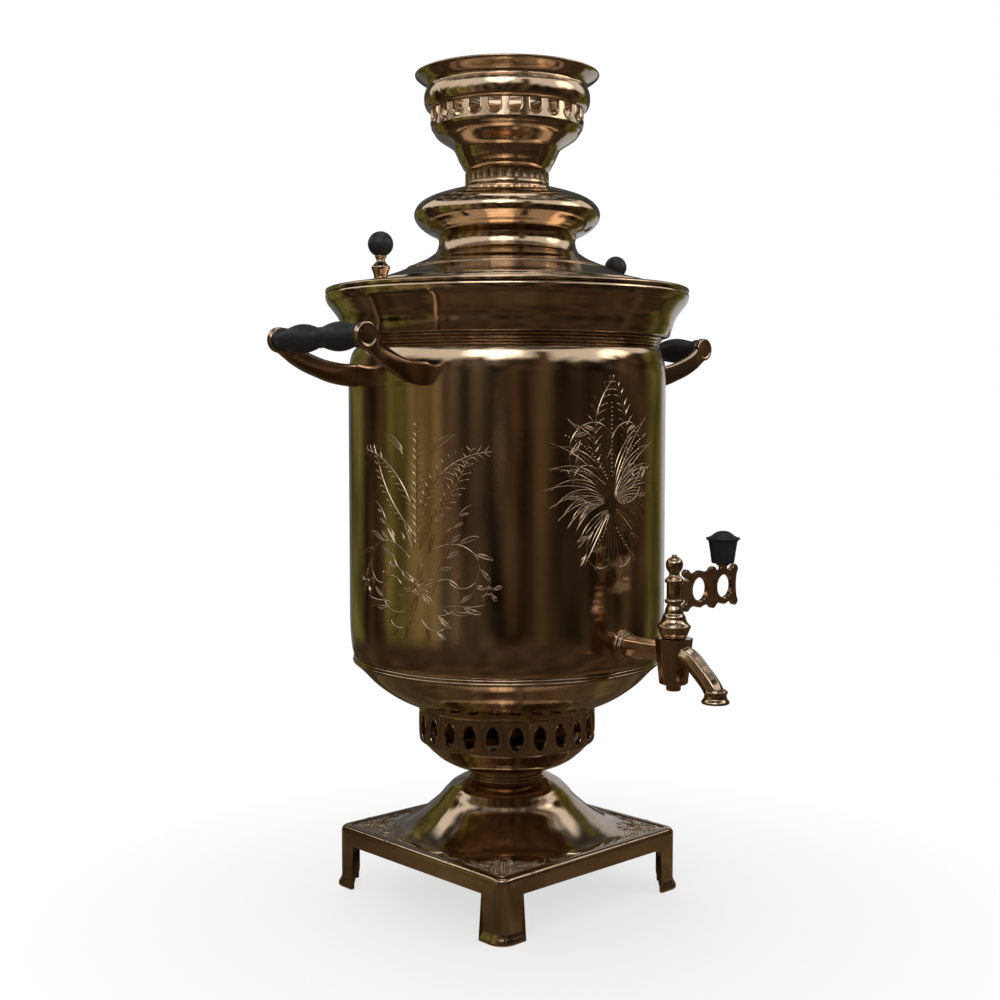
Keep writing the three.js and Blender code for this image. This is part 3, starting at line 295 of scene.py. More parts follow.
class Weave:
    """Short hand for building a material's nodes."""

    def __init__(self, name):
        self.material = bpy.data.materials.new(name)
        self.material.use_nodes = True
        self.tree = self.material.node_tree
        self.shader = self.tree.nodes["Principled BSDF"]
        self.place = self.tree.nodes.new("ShaderNodeTexCoord").outputs["Object"]

    def node(self, kind, **values):
        """A new node with values on its inputs; an underscore stands for a space in their names."""
        made = self.tree.nodes.new(kind)
        for key, value in values.items():
            made.inputs[key.replace("_", " ")].default_value = value
        return made

    def shade(self, **values):
        """Puts values on the shader's own sockets, and links where a value is a socket."""
        for key, value in values.items():
            socket = self.shader.inputs[key.replace("_", " ")]
            if isinstance(value, bpy.types.NodeSocket):
                self.tree.links.new(value, socket)
            else:
                socket.default_value = value

    def noise(self, scale, detail=4.0, rough=0.5, stretch=None, distortion=0.0):
        """Noise over the object's own coordinates, stretched along an axis where asked."""
        made = self.node(
            "ShaderNodeTexNoise", Scale=scale, Detail=detail, Roughness=rough, Distortion=distortion
        )
        source = self.place
        if stretch:
            mapping = self.node("ShaderNodeMapping", Scale=stretch)
            self.tree.links.new(self.place, mapping.inputs["Vector"])
            source = mapping.outputs["Vector"]
        self.tree.links.new(source, made.inputs["Vector"])
        return made.outputs["Fac"]

    def spread(self, value, low, high, to_low=0.0, to_high=1.0):
        """Straight-line change of range, held at its ends."""
        made = self.node("ShaderNodeMapRange", From_Min=low, From_Max=high, To_Min=to_low, To_Max=to_high)
        self.tree.links.new(value, made.inputs["Value"])
        return made.outputs["Result"]

    def mixed(self, factor, first, second):
        """Colour between two colours, or sockets, by a factor."""
        made = self.tree.nodes.new("ShaderNodeMix")
        made.data_type = "RGBA"
        self.tree.links.new(factor, made.inputs["Factor"])
        for slot, colour in ((6, first), (7, second)):
            if isinstance(colour, bpy.types.NodeSocket):
                self.tree.links.new(colour, made.inputs[slot])
            else:
                made.inputs[slot].default_value = (*colour, 1.0)
        return made.outputs[2]

    def bumped(self, height, strength, distance):
        """Bump from a height, on top of any that is there already."""
        made = self.node("ShaderNodeBump", Strength=strength, Distance=distance)
        self.tree.links.new(height, made.inputs["Height"])
        socket = self.shader.inputs["Normal"]
        if socket.is_linked:
            self.tree.links.new(socket.links[0].from_socket, made.inputs["Normal"])
        self.tree.links.new(made.outputs["Normal"], socket)


def polished_metal(name, bright, deep, roughness, streaks):
    """Polished metal: slow patches of deeper colour, cloudy rubbed spots and fine rubbing marks."""
    weave = Weave(name)
    patches = weave.spread(weave.noise(14.0, 5.0, 0.6), 0.35, 0.68)
    clouds = weave.spread(weave.noise(55.0, 6.0, 0.65, distortion=0.6), 0.45, 0.72)
    between = tuple(0.5 * a + 0.5 * b for a, b in zip(bright, deep))
    stained = weave.mixed(clouds, weave.mixed(patches, bright, deep), between)
    rubbed = weave.spread(weave.noise(38.0, 7.0, 0.7), 0.38, 0.7, roughness, roughness * 1.9)
    weave.shade(Base_Color=stained, Metallic=1.0, Roughness=rubbed)
    weave.bumped(weave.noise(420.0, 3.0, 0.6, stretch=streaks), 0.05, 0.0004)
    weave.bumped(weave.noise(70.0, 3.0, 0.55), 0.05, 0.0012)
    weave.bumped(weave.noise(9.0, 2.0, 0.4), 0.14, 0.002)
    return weave.material


def black_lacquer(name, colour, worn):
    """Turned wood under black lacquer: faint grain, lighter rubbed patches and a soft cloudy sheen."""
    weave = Weave(name)
    grain = weave.noise(60.0, 6.0, 0.6, stretch=(1.0, 6.0, 6.0))
    rubbed = weave.spread(weave.noise(90.0, 5.0, 0.7), 0.55, 0.8)
    tint, sheen = weave.mixed(rubbed, colour, worn), weave.spread(grain, 0.3, 0.7, 0.42, 0.6)
    weave.shade(Base_Color=tint, Metallic=0.0, Specular_IOR_Level=0.42, Roughness=sheen)
    weave.bumped(grain, 0.12, 0.0006)
    return weave.material


def dull_surface(name, first, second, metallic, roughness, scale=90.0):
    """Unpolished surface: two mottled colours, uneven roughness and a fine grainy relief."""
    weave = Weave(name)
    mottle = weave.noise(scale, 8.0, 0.65)
    tint = weave.mixed(weave.spread(mottle, 0.35, 0.7), first, second)
    uneven = weave.spread(mottle, 0.3, 0.7, roughness, min(1.0, roughness + 0.25))
    weave.shade(Base_Color=tint, Metallic=metallic, Roughness=uneven)
    weave.bumped(weave.noise(scale * 6, 4.0, 0.7), 0.2, 0.0005)
    return weave.material


FINISH = {}


def make_finishes(looks):
    """All finishes, from the colours of the panel."""
    sheet, cast = tuple(looks.sheet_colour), tuple(looks.cast_colour)
    deep, wood = tuple(looks.deep_colour), tuple(looks.wood_colour)
    raised, worn = tuple(min(1.0, c * 1.1) for c in sheet), tuple(c * 2.4 + 0.01 for c in wood)
    rough = looks.polish
    FINISH.update(
        sheet=polished_metal("rolled_brass", sheet, deep, rough, (1.0, 1.0, 24.0)),
        shell=polished_metal("shell_brass", sheet, deep, rough * 0.9, (18.0, 18.0, 1.0)),
        cast=polished_metal("cast_brass", cast, deep, rough * 1.25, (6.0, 6.0, 6.0)),
        chased=polished_metal("chased_brass", raised, sheet, rough, (4.0, 4.0, 4.0)),
        wood=black_lacquer("black_wood", wood, worn),
        tinned=dull_surface("tinned_wall", (0.33, 0.31, 0.28), (0.18, 0.15, 0.12), 1.0, 0.35),
        soot=dull_surface("sooty_iron", (0.03, 0.028, 0.026), (0.08, 0.06, 0.05), 0.6, 0.6),
        rod=dull_surface("rod_steel", (0.25, 0.25, 0.26), (0.16, 0.15, 0.15), 1.0, 0.3),
        fibre=dull_surface("red_fibre", (0.16, 0.06, 0.035), (0.1, 0.04, 0.03), 0.0, 0.7),
    )


# Pieces


WELD = 2e-6  # metres within which seams and poles close
CREASE, OPEN_CREASE, LINE_CREASE = 32, 24, 50  # degrees past which an edge is sharp


def piece(name, surfaces, finish, body, *replaced, crease=CREASE):
    """Makes a piece from its surfaces, closes its seams and poles, and seats it on its body."""
    points, faces = gathered(surfaces)
    mesh = bpy.data.meshes.new(name)
    mesh.from_pydata((points * MM).tolist(), [], faces.tolist())
    work = bmesh.new()
    work.from_mesh(mesh)
    bmesh.ops.remove_doubles(work, verts=work.verts, dist=WELD)
    work.to_mesh(mesh)
    work.free()
    mesh.shade_smooth()
    mesh.set_sharp_from_angle(angle=math.radians(crease))
    mesh.validate()
    mesh.materials.append(FINISH[finish])
    thing = bpy.data.objects.new(name, mesh)
    bpy.context.scene.collection.objects.link(thing)
    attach(thing, body)
    if replaced:
        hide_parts(*replaced)


def kept_node(node, finish):
    """A CAD node that is shown as it is, in its own finish."""
    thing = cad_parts[node]
    thing.data.materials.clear()
    thing.data.materials.append(FINISH[finish])


# Settings that a user would change


class SamovarSizes(bpy.types.PropertyGroup):
    """Sizes of the drawn detail."""

    wall: bpy.props.FloatProperty(
        name="Wall", description="Thickness of the brass sheet",
        default=1.6 * MM, min=0.5 * MM, subtype="DISTANCE",
    )
    edge: bpy.props.FloatProperty(
        name="Edge", description="Softness of turned edges",
        default=0.45 * MM, min=0.0, subtype="DISTANCE",
    )
    chasing: bpy.props.FloatProperty(
        name="Chasing", description="Height of the chased lines",
        default=0.32 * MM, min=0.0, subtype="DISTANCE",
    )
    flutes: bpy.props.IntProperty(
        name="Flutes", description="Flutes round the crown's socket", default=26, min=12, max=80
    )


class SamovarLooks(bpy.types.PropertyGroup):
    """Colours and polish."""

    sheet_colour: bpy.props.FloatVectorProperty(
        name="Sheet", description="Colour of the rolled brass",
        default=(0.62, 0.475, 0.335), min=0, max=1, subtype="COLOR",
    )
    cast_colour: bpy.props.FloatVectorProperty(
        name="Castings", description="Colour of the cast brass",
        default=(0.6, 0.445, 0.315), min=0, max=1, subtype="COLOR",
    )
    deep_colour: bpy.props.FloatVectorProperty(
        name="Patina", description="Colour of the deeper patches",
        default=(0.48, 0.335, 0.215), min=0, max=1, subtype="COLOR",
    )
    wood_colour: bpy.props.FloatVectorProperty(
        name="Wood", description="Colour of the lacquered wood",
        default=(0.011, 0.012, 0.014), min=0, max=1, subtype="COLOR",
    )
    polish: bpy.props.FloatProperty(
        name="Polish", description="Roughness of the polished faces",
        default=0.06, min=0.02, max=1.0, subtype="FACTOR",
    )


def wall():
    """Thickness of the sheet."""
    return bpy.context.scene.samovar_sizes.wall / MM


def edge():
    """Softness of turned edges."""
    return bpy.context.scene.samovar_sizes.edge / MM


# Base. Columns run round a rounded square; rows run from the bore out over the dome and the plate,
# down the skirt and the feet, and back on the inside.

PLATE_CORNER = 8.0
FOOT_LEAF = 17.6  # how far each foot runs from the plate's corner along a side
LEAF_EDGE, LEAF_STEP = 0.02, 1.5  # from a foot's edge to its two columns, and to the next one
SKIRT_RISE = 4.4  # the skirt's lower edge over the node's foot
DOME_HEIGHT = 34.0  # from the plate up to the neck
DOME_EASE = 8.0  # rise below which the dome eases down to the plate's sunk field
FIELD_SINK = 0.7  # the plate inside its raised border lies this much lower
BORDER = 6.9
EDGE_ROUND = 3.2
NECK_WALL = 4.2
TOE_THICKENING, TOE_HEIGHT = 0.6, 5
DOME_WALL_SHARE = 0.7  # of the wall, inwards and down, on the dome's slope
FIELD_SHARES = (0.1, 0.25, 0.45, 0.7)  # rows between the dome and the border
DOME = [
    (24.9, 34.0), (27.2, 33.5), (30.6, 32.0), (35.9, 28.8), (38.5, 26.2), (41, 23.6), (43, 21),
    (45.5, 18.3), (50, 14.4), (54, 11.0), (58, 8.0), (62, 5.5), (65.5, 3.6), (68.5, 2.3), (71.3, 1.4),
]
TOE = [(7.5, 0.0), (5.6, 0.25), (4.2, 0.9), (3.0, 1.7), (1.8, 2.15), (0.8, 2.2), (0.15, 1.95), (0.0, 1.7)]
PLATE_LINES = [
    (-0.7, 6.6), (-0.65, 6.2), (-0.1, 5.9), (0, 5.5), (0, 4.9), (-0.35, 4.7), (-0.35, 4.3), (0, 4.1),
    (0, 3.2),
]


def square_columns(half):
    """Points round the plate's edge: for each quarter, along a side, round the corner, and along
    the next side, with close pairs at the edges of the feet. Returns the points, the outward
    directions, and the depth that the sheet reaches at each, 0 at the skirt and 1 at the feet."""
    straight, leaf = half - PLATE_CORNER, half - FOOT_LEAF
    side = np.concatenate([
        np.linspace(0, leaf - LEAF_EDGE, 14),
        [leaf + LEAF_EDGE],
        np.linspace(leaf + LEAF_STEP, straight, 4),
    ])
    back = side[:0:-1]
    arc = np.linspace(0, QUARTER, 11)[1:-1]
    x = np.concatenate([np.full(len(side), half), straight + PLATE_CORNER * np.cos(arc), back])
    y = np.concatenate([side, straight + PLATE_CORNER * np.sin(arc), np.full(len(back), half)])
    nx = np.concatenate([np.ones(len(side)), np.cos(arc), np.zeros(len(back))])
    ny = np.concatenate([np.zeros(len(side)), np.sin(arc), np.ones(len(back))])
    foot = np.where((np.maximum(x, y) >= half - 1e-6) & (np.minimum(x, y) < leaf), 0.0, 1.0)
    rim, normal = (
        np.vstack([turned_round(np.stack(pair, axis=1), quarter * QUARTER) for quarter in range(4)])
        for pair in ((x, y), (nx, ny))
    )
    return rim, normal, np.tile(foot, 4)


def base_surface():
    """The base as one sheet over a grid of rows and columns."""
    low, high = span("base_plate")
    neck_top, plate_top = high[2], high[2] - DOME_HEIGHT
    rim, normal, foot = square_columns((high[0] - low[0]) / 2)
    circle = rim / np.linalg.norm(rim, axis=1)[:, None]
    bore = reach_of("base_neck") - NECK_WALL
    rows = []

    def ring(flat, height):
        rows.append(np.column_stack([flat, np.broadcast_to(height, len(flat))]))

    def inset(depth):
        """The edge moved inwards: straight sides move, corners keep their centre."""
        return rim - normal * depth

    dome = flow(DOME, 3)
    ring(circle * bore, neck_top)
    for radius, rise in dome:
        ring(circle * radius, plate_top + rise - FIELD_SINK * (1 - min(1, rise / DOME_EASE)))
    for share in FIELD_SHARES:
        flat = (1 - share) * circle * dome[-1][0] + share * inset(BORDER)
        ring(flat, plate_top - FIELD_SINK + dome[-1][1] * (1 - share) ** 2)
    for rise, depth in PLATE_LINES:
        ring(inset(depth), plate_top + rise)
    for bend in QUARTER * np.linspace(0.15, 1, 6):
        ring(inset(EDGE_ROUND * (1 - math.sin(bend))), plate_top - EDGE_ROUND * (1 - math.cos(bend)))
    side_top = plate_top - EDGE_ROUND
    bottom = (low[2] + SKIRT_RISE) * (1 - foot)
    toe = np.array(TOE)
    heights = np.concatenate([np.linspace(side_top, toe[0, 0], 9)[1:], toe[1:, 0]])
    shares = (side_top - heights) / side_top
    for inside, order in ((0, shares), (1, shares[::-1])):
        for share in order:
            height = side_top + (bottom - side_top) * share
            thickness = wall() + TOE_THICKENING * np.clip(1 - height / TOE_HEIGHT, 0, 1)
            out = np.interp(height, toe[::-1, 0], toe[::-1, 1]) - inside * thickness
            ring(rim + normal * out[:, None], height)
    ring(inset(wall()), plate_top - FIELD_SINK - wall())
    ring(circle * dome[-1][0], plate_top - FIELD_SINK - wall())
    inner = DOME_WALL_SHARE * wall()
    for radius, rise in dome[::-3][1:]:
        ring(circle * (radius - inner), plate_top + rise - inner - FIELD_SINK)
    ring(circle * bore, neck_top - wall())
    return skin(np.array(rows) + (*AXIS, 0))


NECK = [
    (24.6, 0), (24.6, 0.9), (23.2, 1.3), (23.1, 1.8), (23.9, 2.1), (24.1, 2.5), (23.9, 2.9), (22.7, 3.2),
    (22.6, 4.1), (23.6, 4.4), (23.8, 4.8), (23.6, 5.2), (23.0, 5.5), (23.0, 6.0), (24.0, 6.3),
    (24.2, 7.0),
]
NECK_BEADS = (22.7, 3.65, 0.5, 72)  # radius, height, size and count


def base_neck_surfaces():
    """Ringed neck with a row of fine beads in its middle groove."""
    bottom = foot_of("base_neck")
    line = softened(NECK, 0.2, 3) + (0, bottom)
    bore = NECK[0][0] - NECK_WALL
    section = np.vstack([line, [bore, head_of("base_neck")], [bore, bottom]])
    return [turned(section, 128), bead_ring(bottom, *NECK_BEADS)]


def bead_ring(bottom, radius, height, size, count):
    """Small round beads set evenly on a circle."""
    latitude = np.linspace(-QUARTER, QUARTER, 5)[:, None]
    longitude = np.linspace(0, TURN, 6, endpoint=False)[None]
    flat, up = np.cos(latitude), np.sin(latitude) + 0 * longitude
    ball = size * np.stack([flat * np.cos(longitude), flat * np.sin(longitude), up], axis=-1)
    angle = np.linspace(0, TURN, count, endpoint=False)
    x, y = AXIS[0] + radius * np.sin(angle), AXIS[1] - radius * np.cos(angle)
    points, faces = skin(ball, loop_rows=False)
    return gathered([(points + (*spot, bottom + height), faces) for spot in zip(x, y)])


# Fire box


ASH_BOWL = [
    (23.6, 0.0), (27, 0.25), (30, 0.7), (33.5, 1.4), (37.5, 3.0), (41.5, 5.2), (44.4, 7.1), (46.8, 9.2),
    (49.1, 11.2), (51, 13.2), (52.9, 15.2), (54.2, 16.6), (55.8, 17.7), (56.4, 18),
]
ASH_BORE, BOTTOM_BORE, CROWN_BORE = 20.5, 38.6, 21.6
RING_OVER = 2.0  # the ring of openings reaches this far up over its node
BOTTOM_BOWL = [
    (58.2, 0), (58.3, 1.6), (61.5, 2.9), (66, 4.8), (71, 7.2), (75.6, 9.9), (81.0, 13.7), (86, 17.8),
    (90.2, 22.1), (93.5, 25.6), (96.5, 28.4), (98.0, 29.6), (98.2, 30),
]
OPENINGS = 24  # in the air ring, and in the crown's gallery
PANEL_STEPS = 10  # points on each side of a panel
RIM_LIMIT_SHARE = 0.8  # of the way to the border, which no row round an opening passes


def ash_bowl_surface():
    """Shallow bowl from the neck's bore out to the air ring."""
    line = np.vstack([[(ASH_BORE, 0)], flow(ASH_BOWL, 4)]) + (0, foot_of("ash_bowl"))
    return spun_sheet(line, spacing=2.0, columns=144)


def panel_angles(half_width, half_height, count):
    """Directions from a panel's middle that take in its four corners, evenly spread on each side."""
    corner = math.atan2(half_height, half_width)
    stops = [-corner, corner, math.pi - corner, math.pi + corner, TURN - corner]
    return np.concatenate([np.linspace(stops[i], stops[i + 1], count, endpoint=False) for i in range(4)])


def rectangle_reach(angle, half_width, half_height):
    """Distance from the middle to a rectangle's border in each direction."""
    wide = half_width / np.maximum(np.abs(np.cos(angle)), 1e-9)
    high = half_height / np.maximum(np.abs(np.sin(angle)), 1e-9)
    return np.minimum(wide, high)


def outline_reach(angle, outline):
    """Distance from the middle to a closed outline in each direction, read off its own points."""
    around = np.arctan2(outline[:, 1], outline[:, 0])
    order = np.argsort(around)
    return np.interp(
        np.mod(angle + math.pi, TURN) - math.pi,
        around[order],
        np.linalg.norm(outline[order], axis=1),
        period=TURN,
    )


def pierced_ring(corner_radius, bottom, top, middle, outline, rows, flat):
    """Ring of panels with an opening in each. A row is the border itself, the opening's edge moved
    out by an offset, or a function of the direction and an offset, and says how far it stands off
    the face. Panels are flat, or follow the circle."""
    half_turn = math.pi / OPENINGS
    face = corner_radius * math.cos(half_turn) if flat else corner_radius
    half_width = corner_radius * (math.sin(half_turn) if flat else half_turn)
    level = (top + bottom) / 2
    angle = panel_angles(half_width, (top - bottom) / 2, PANEL_STEPS)
    direction = np.stack([np.cos(angle), np.sin(angle)], axis=1)
    border = direction * rectangle_reach(angle, half_width, (top - bottom) / 2)[:, None]
    hole = direction * outline_reach(angle, outline)[:, None] + (0, middle - level)
    length = np.linalg.norm(border - hole, axis=1)[:, None]
    grid = []
    for kind, offset, stand in rows:
        depth = face + stand
        if kind == "border":
            place = border
        elif kind == "hole":
            place = hole + (border - hole) / length * np.minimum(offset, RIM_LIMIT_SHARE * length)
        else:
            place = kind(angle, offset)
        u, v = place[:, 0], place[:, 1] + level
        if flat:
            x, y = u * (depth / face if kind == "border" else 1), np.full_like(u, depth)
        else:
            x, y = depth * np.sin(u / face), depth * np.cos(u / face)
        grid.append(np.stack([x, -y, v], axis=1))
    points = np.vstack(grid)
    faces = grid_faces(len(rows), len(angle), True, True)
    last_row = faces[:, 0] // len(angle) == len(rows) - 1
    upright_side = faces[:, 0] % len(angle) // PANEL_STEPS % 2 == 0
    faces = faces[~(last_row & upright_side)]
    faces = outward(points - points.mean(axis=0), faces)
    turns = (np.arange(OPENINGS) + 0.5) * 2 * half_turn
    return [(turned_round(points, turn) + (*AXIS, 0), faces) for turn in turns]


AIR_RADIUS = 57.0
FRAME_OVER = 0.4  # the frames' corners stand this far outside the ring's radius
WINDOW = (4.0, 7.3)  # half width and half height of an oval window
WINDOW_DROP = 0.4  # of a window's middle below its panel's
CORNER_CUT = 2.1
FRAME_MARGIN, FRAME_DRAW_SHARE = 0.25, 0.3  # over and under a raised frame


def air_ring_surfaces():
    """Cast ring of flat panels with clipped corners, each with a bevelled oval window."""
    bottom, top = foot_of("air_ring"), head_of("air_ring") + RING_OVER
    turn = np.linspace(0, TURN, 96, endpoint=False)
    oval = np.stack([WINDOW[0] * np.cos(turn), WINDOW[1] * np.sin(turn)], axis=1)
    half_width = AIR_RADIUS * math.sin(math.pi / OPENINGS)

    def clipped(angle, inset):
        """Border of a panel's raised face: a rectangle with its corners cut off."""
        wide, high = half_width - inset, (top - bottom) / 2 - FRAME_MARGIN - inset * FRAME_DRAW_SHARE
        diagonal = (wide + high - CORNER_CUT) / (np.abs(np.cos(angle)) + np.abs(np.sin(angle)))
        reach = np.minimum(rectangle_reach(angle, wide, high), diagonal)
        return np.stack([reach * np.cos(angle), reach * np.sin(angle)], axis=1)

    rows = [
        ("border", 0, -0.9), (clipped, 0.55, -0.9), (clipped, 0.8, -0.55), (clipped, 1.05, -0.42),
        ("hole", 0.75, -0.42), ("hole", 0.6, -0.3), ("hole", 0.3, -0.1), ("hole", 0.05, -0.42),
        ("hole", 0, -0.9), ("hole", 0.1, -2.2), ("border", 0, -2.2),
    ]
    middle = (top + bottom) / 2 - WINDOW_DROP
    return pierced_ring(AIR_RADIUS + FRAME_OVER, bottom, top, middle, oval, rows, flat=True)


# Body


SHELL_FOOT, FOOT_DRAW = 28, 3.2  # height of the turn at the shell's foot, and how far it draws in
SHOULDER, SHOULDER_DRAW = 18, 6.0
STRAIGHT_GAP = 2  # between a turn and the straight side's rows
BODY_COLUMNS = 192


def shell_radius(height):
    """Radius of the shell at a height: straight, with elliptical quarter turns at foot and top."""
    bottom, top = foot_of("body_shell"), head_of("body_shell")
    low = np.clip((bottom + SHELL_FOOT - height) / SHELL_FOOT, 0, 1)
    high = np.clip((height - (top - SHOULDER)) / SHOULDER, 0, 0.9999)
    foot = FOOT_DRAW * (1 - np.sqrt(1 - low**2))
    return BODY_RADIUS - foot - SHOULDER_DRAW * (1 - np.sqrt(1 - high**2))


def body_shell_surface():
    """Shell of the body, its profile taken at close steps where it curves."""
    bottom, top = foot_of("body_shell"), head_of("body_shell")
    bend = np.linspace(0, QUARTER, 16)
    heights = np.concatenate([
        bottom + SHELL_FOOT * (1 - np.cos(bend)),
        np.linspace(bottom + SHELL_FOOT + STRAIGHT_GAP, top - SHOULDER - STRAIGHT_GAP, 24),
        top - SHOULDER + SHOULDER * np.sin(bend),
    ])
    return spun_sheet(np.stack([shell_radius(heights), heights], axis=1), spacing=6.0, columns=BODY_COLUMNS)


def curved_bottom_surface():
    """Curved bottom of the body, out from its bore."""
    line = np.vstack([[(BOTTOM_BORE, 0)], flow(BOTTOM_BOWL, 4)]) + (0, foot_of("body_bottom") + RING_OVER)
    return spun_sheet(softened(line, edge()), spacing=2.0, columns=BODY_COLUMNS)


BAND = [
    (96.6, 0), (98.0, 0), (98.9, 0.35), (99.2, 0.95), (98.8, 1.6), (98.2, 1.9), (98.6, 2.3), (98.8, 2.9),
    (98.4, 3.5), (97.4, 4), (96.6, 4),
]
NECK_RING = [
    (92.6, 0), (95.2, 0), (96.6, 0.5), (97.0, 1.1), (96.4, 1.7), (95.9, 1.9), (97.2, 2.3), (97.8, 2.9),
    (97.4, 3.5), (96.7, 3.8), (98.0, 4.2), (98.8, 4.9), (98.6, 5.6), (97.6, 6.0), (92.6, 6.0),
]
COLLAR_FOOT = [(93.0, 0), (101.4, 0), (102.6, 0.5), (103.1, 1.3)]
COLLAR = [
    (103.9, 3.5), (104.7, 5.9), (105.8, 9.8), (107.8, 13.6), (110.7, 17.5), (113.6, 21.3), (114.6, 23.6),
]
LIP = [(114.9, 25.0), (115.0, 25.8), (114.8, 26.7), (114.2, 27.6)]


def solid_ring(outline, node):
    """Turned ring of solid section with soft edges."""
    return turned(softened(outline, 0.25, 3, closed=True) + (0, foot_of(node)), BODY_COLUMNS)


def body_collar_surface():
    """Flared collar: a flange on the neck rings, a hollow flare and a rolled lip."""
    outer = np.vstack([softened(COLLAR_FOOT, 0.6), flow(COLLAR, 6), LIP])
    return spun_sheet(outer + (0, foot_of("body_collar")), spacing=2.0, columns=BODY_COLUMNS)


# Lid and crown


LID = [
    (115.0, 0.0), (115.0, 1.8), (114.5, 2.5), (113.4, 2.9), (104, 3.9), (92.2, 4.9), (91.1, 5.1),
    (90.6, 5.8), (90.1, 7.0), (88.8, 7.5), (82, 9.1), (76, 11.0), (70, 13.1), (64.6, 15.4), (63.9, 15.7),
    (59.3, 15.7),
]
LID_GAP = 0.3  # between the collar's lip and the lid
LID_FLANGE = [(108.5, -5.8), (108.5, 2.0), (106.9, 2.0), (106.9, -5.8)]


def lid_plate_surfaces():
    """Stepped lid with a thin flange below that finds the collar."""
    seat = (0, foot_of("body_collar") + LIP[-1][1] + LID_GAP)
    plate = spun_sheet(softened(LID + np.array([seat]), edge()), spacing=3.0, columns=BODY_COLUMNS)
    return [plate, turned(LID_FLANGE + np.array([seat]), 96)]


COWL_FOOT = [
    (63.7, 0), (63.5, 0.9), (61.6, 1.5), (58.5, 2.9), (55, 4.4), (52, 5.7), (49.2, 7.4), (47.6, 8.6),
]
COWL_STEP = [(47.2, 8.9), (46.0, 9.4)]
COWL_WAIST = [(45.2, 10.6), (44.2, 12.6), (43.4, 15.4), (43.3, 17.6), (43.9, 19.4), (45.4, 20.7)]
COWL_BULGE = [
    (46.4, 21.1), (49.6, 22.6), (52.9, 24.7), (56.0, 27.5), (57.9, 30.2), (58.8, 32.8), (58.8, 35.2),
    (57.9, 37.8), (56.0, 40.4), (52.8, 42.9), (47.6, 45.4), (40.0, 47.9), (33, 49.8), (29.0, 50.6),
    (27.8, 50.8), (25.4, 50.8),
]


def lid_cowl_surface():
    """Turned cowl: a spreading foot, a narrow waist and a bulge, over the top of the fire tube."""
    outer = np.vstack([flow(COWL_FOOT, 4), COWL_STEP, flow(COWL_WAIST, 4), flow(COWL_BULGE, 4)])
    return spun_sheet(softened(fitted(outer, "lid_cowl"), edge()), spacing=2.0, columns=160)


SOCKET = [
    (26.2, 0), (26.6, 0.3), (26.6, 2.7), (26.2, 3.0), (26.2, 3.3), (26.6, 3.6), (26.6, 9.0), (26.2, 9.3),
    (25.9, 9.6), (25.7, 10), (21.5, 10), (21.5, 8.4), (24.7, 8.2), (24.7, 0),
]
SOCKET_HEIGHT = 10
FLUTE_FOOT, FLUTE_HEAD = 3.75, 8.9
FLUTE_DEPTH_SHARE = 0.04
FLUTE_ROWS = [(26.5, 3.78), (26.5, 4.5), (26.5, 8.2), (26.5, 8.85)]


def crown_socket_surface():
    """Socket with a plain band below a row of upright flutes between fine beads. The flutes scale
    the radius by a rounded wave of the angle."""
    bottom, count = foot_of("crown_socket"), bpy.context.scene.samovar_sizes.flutes
    section = softened(fitted(SOCKET, "crown_socket", SOCKET_HEIGHT), 0.15, 3, closed=True)

    def fluting(a, z):
        wave = np.abs(np.sin(count * a / 2)) ** 0.6
        band = (z > bottom + FLUTE_FOOT) & (z < bottom + FLUTE_HEAD)
        return 1 - FLUTE_DEPTH_SHARE * band * (1 - wave)

    extra = FLUTE_ROWS + np.array([(0, bottom)])
    at = np.searchsorted(section[: len(section) // 2, 1], extra[:, 1])
    return turned(np.insert(section, at, extra, axis=0), count * 8, shape=fluting)


CROWN_BOWL = [
    (25.6, 0), (26.6, 0.8), (27.8, 2.2), (28.9, 4.4), (30.2, 6.6), (31.2, 9), (32.4, 11.6), (33.4, 13.6),
    (34.9, 15.2), (37.6, 17.1), (41.2, 19.3), (44.2, 21.6), (45.8, 23.9), (46.9, 25.6), (47.3, 27),
]


def crown_bowl_surface():
    """Bowl of the crown: narrow neck, shoulder and full side."""
    line = np.vstack([[(CROWN_BORE, 0)], flow(CROWN_BOWL, 5)])
    return spun_sheet(fitted(line, "crown_bowl"), spacing=1.6, columns=144)


OPENING_HALF, SILL, LINTEL = 3.7, 2.0, 2.9  # half width of an opening, and the bands under and over it
GALLERY_ROWS = [
    ("border", 0, -0.5), ("hole", 1.15, -0.5), ("hole", 0.85, -0.1), ("hole", 0.5, 0.0),
    ("hole", 0.12, -0.15), ("hole", 0, -0.6), ("hole", 0.1, -1.8), ("border", 0, -1.8),
]


def crown_gallery_surfaces():
    """Gallery of round-footed openings with raised rims, following the circle."""
    bottom, top = foot_of("crown_gallery"), head_of("crown_gallery")
    half, sill, head = OPENING_HALF, bottom + SILL, top - LINTEL
    middle = (sill + head) / 2
    bend = np.linspace(math.pi, TURN, 30)
    side = np.linspace(sill + half, head, 12)[1:]
    line = np.vstack([
        np.stack([half * np.cos(bend), sill + half + half * np.sin(bend)], axis=1),
        np.stack([np.full(11, half), side], axis=1),
        np.stack([np.linspace(half, -half, 16)[1:-1], np.full(14, head)], axis=1),
        np.stack([np.full(11, -half), side[::-1]], axis=1),
    ]) - (0, middle)
    radius = reach_of("crown_gallery")
    return pierced_ring(radius, bottom, top, middle, line, GALLERY_ROWS, flat=False)


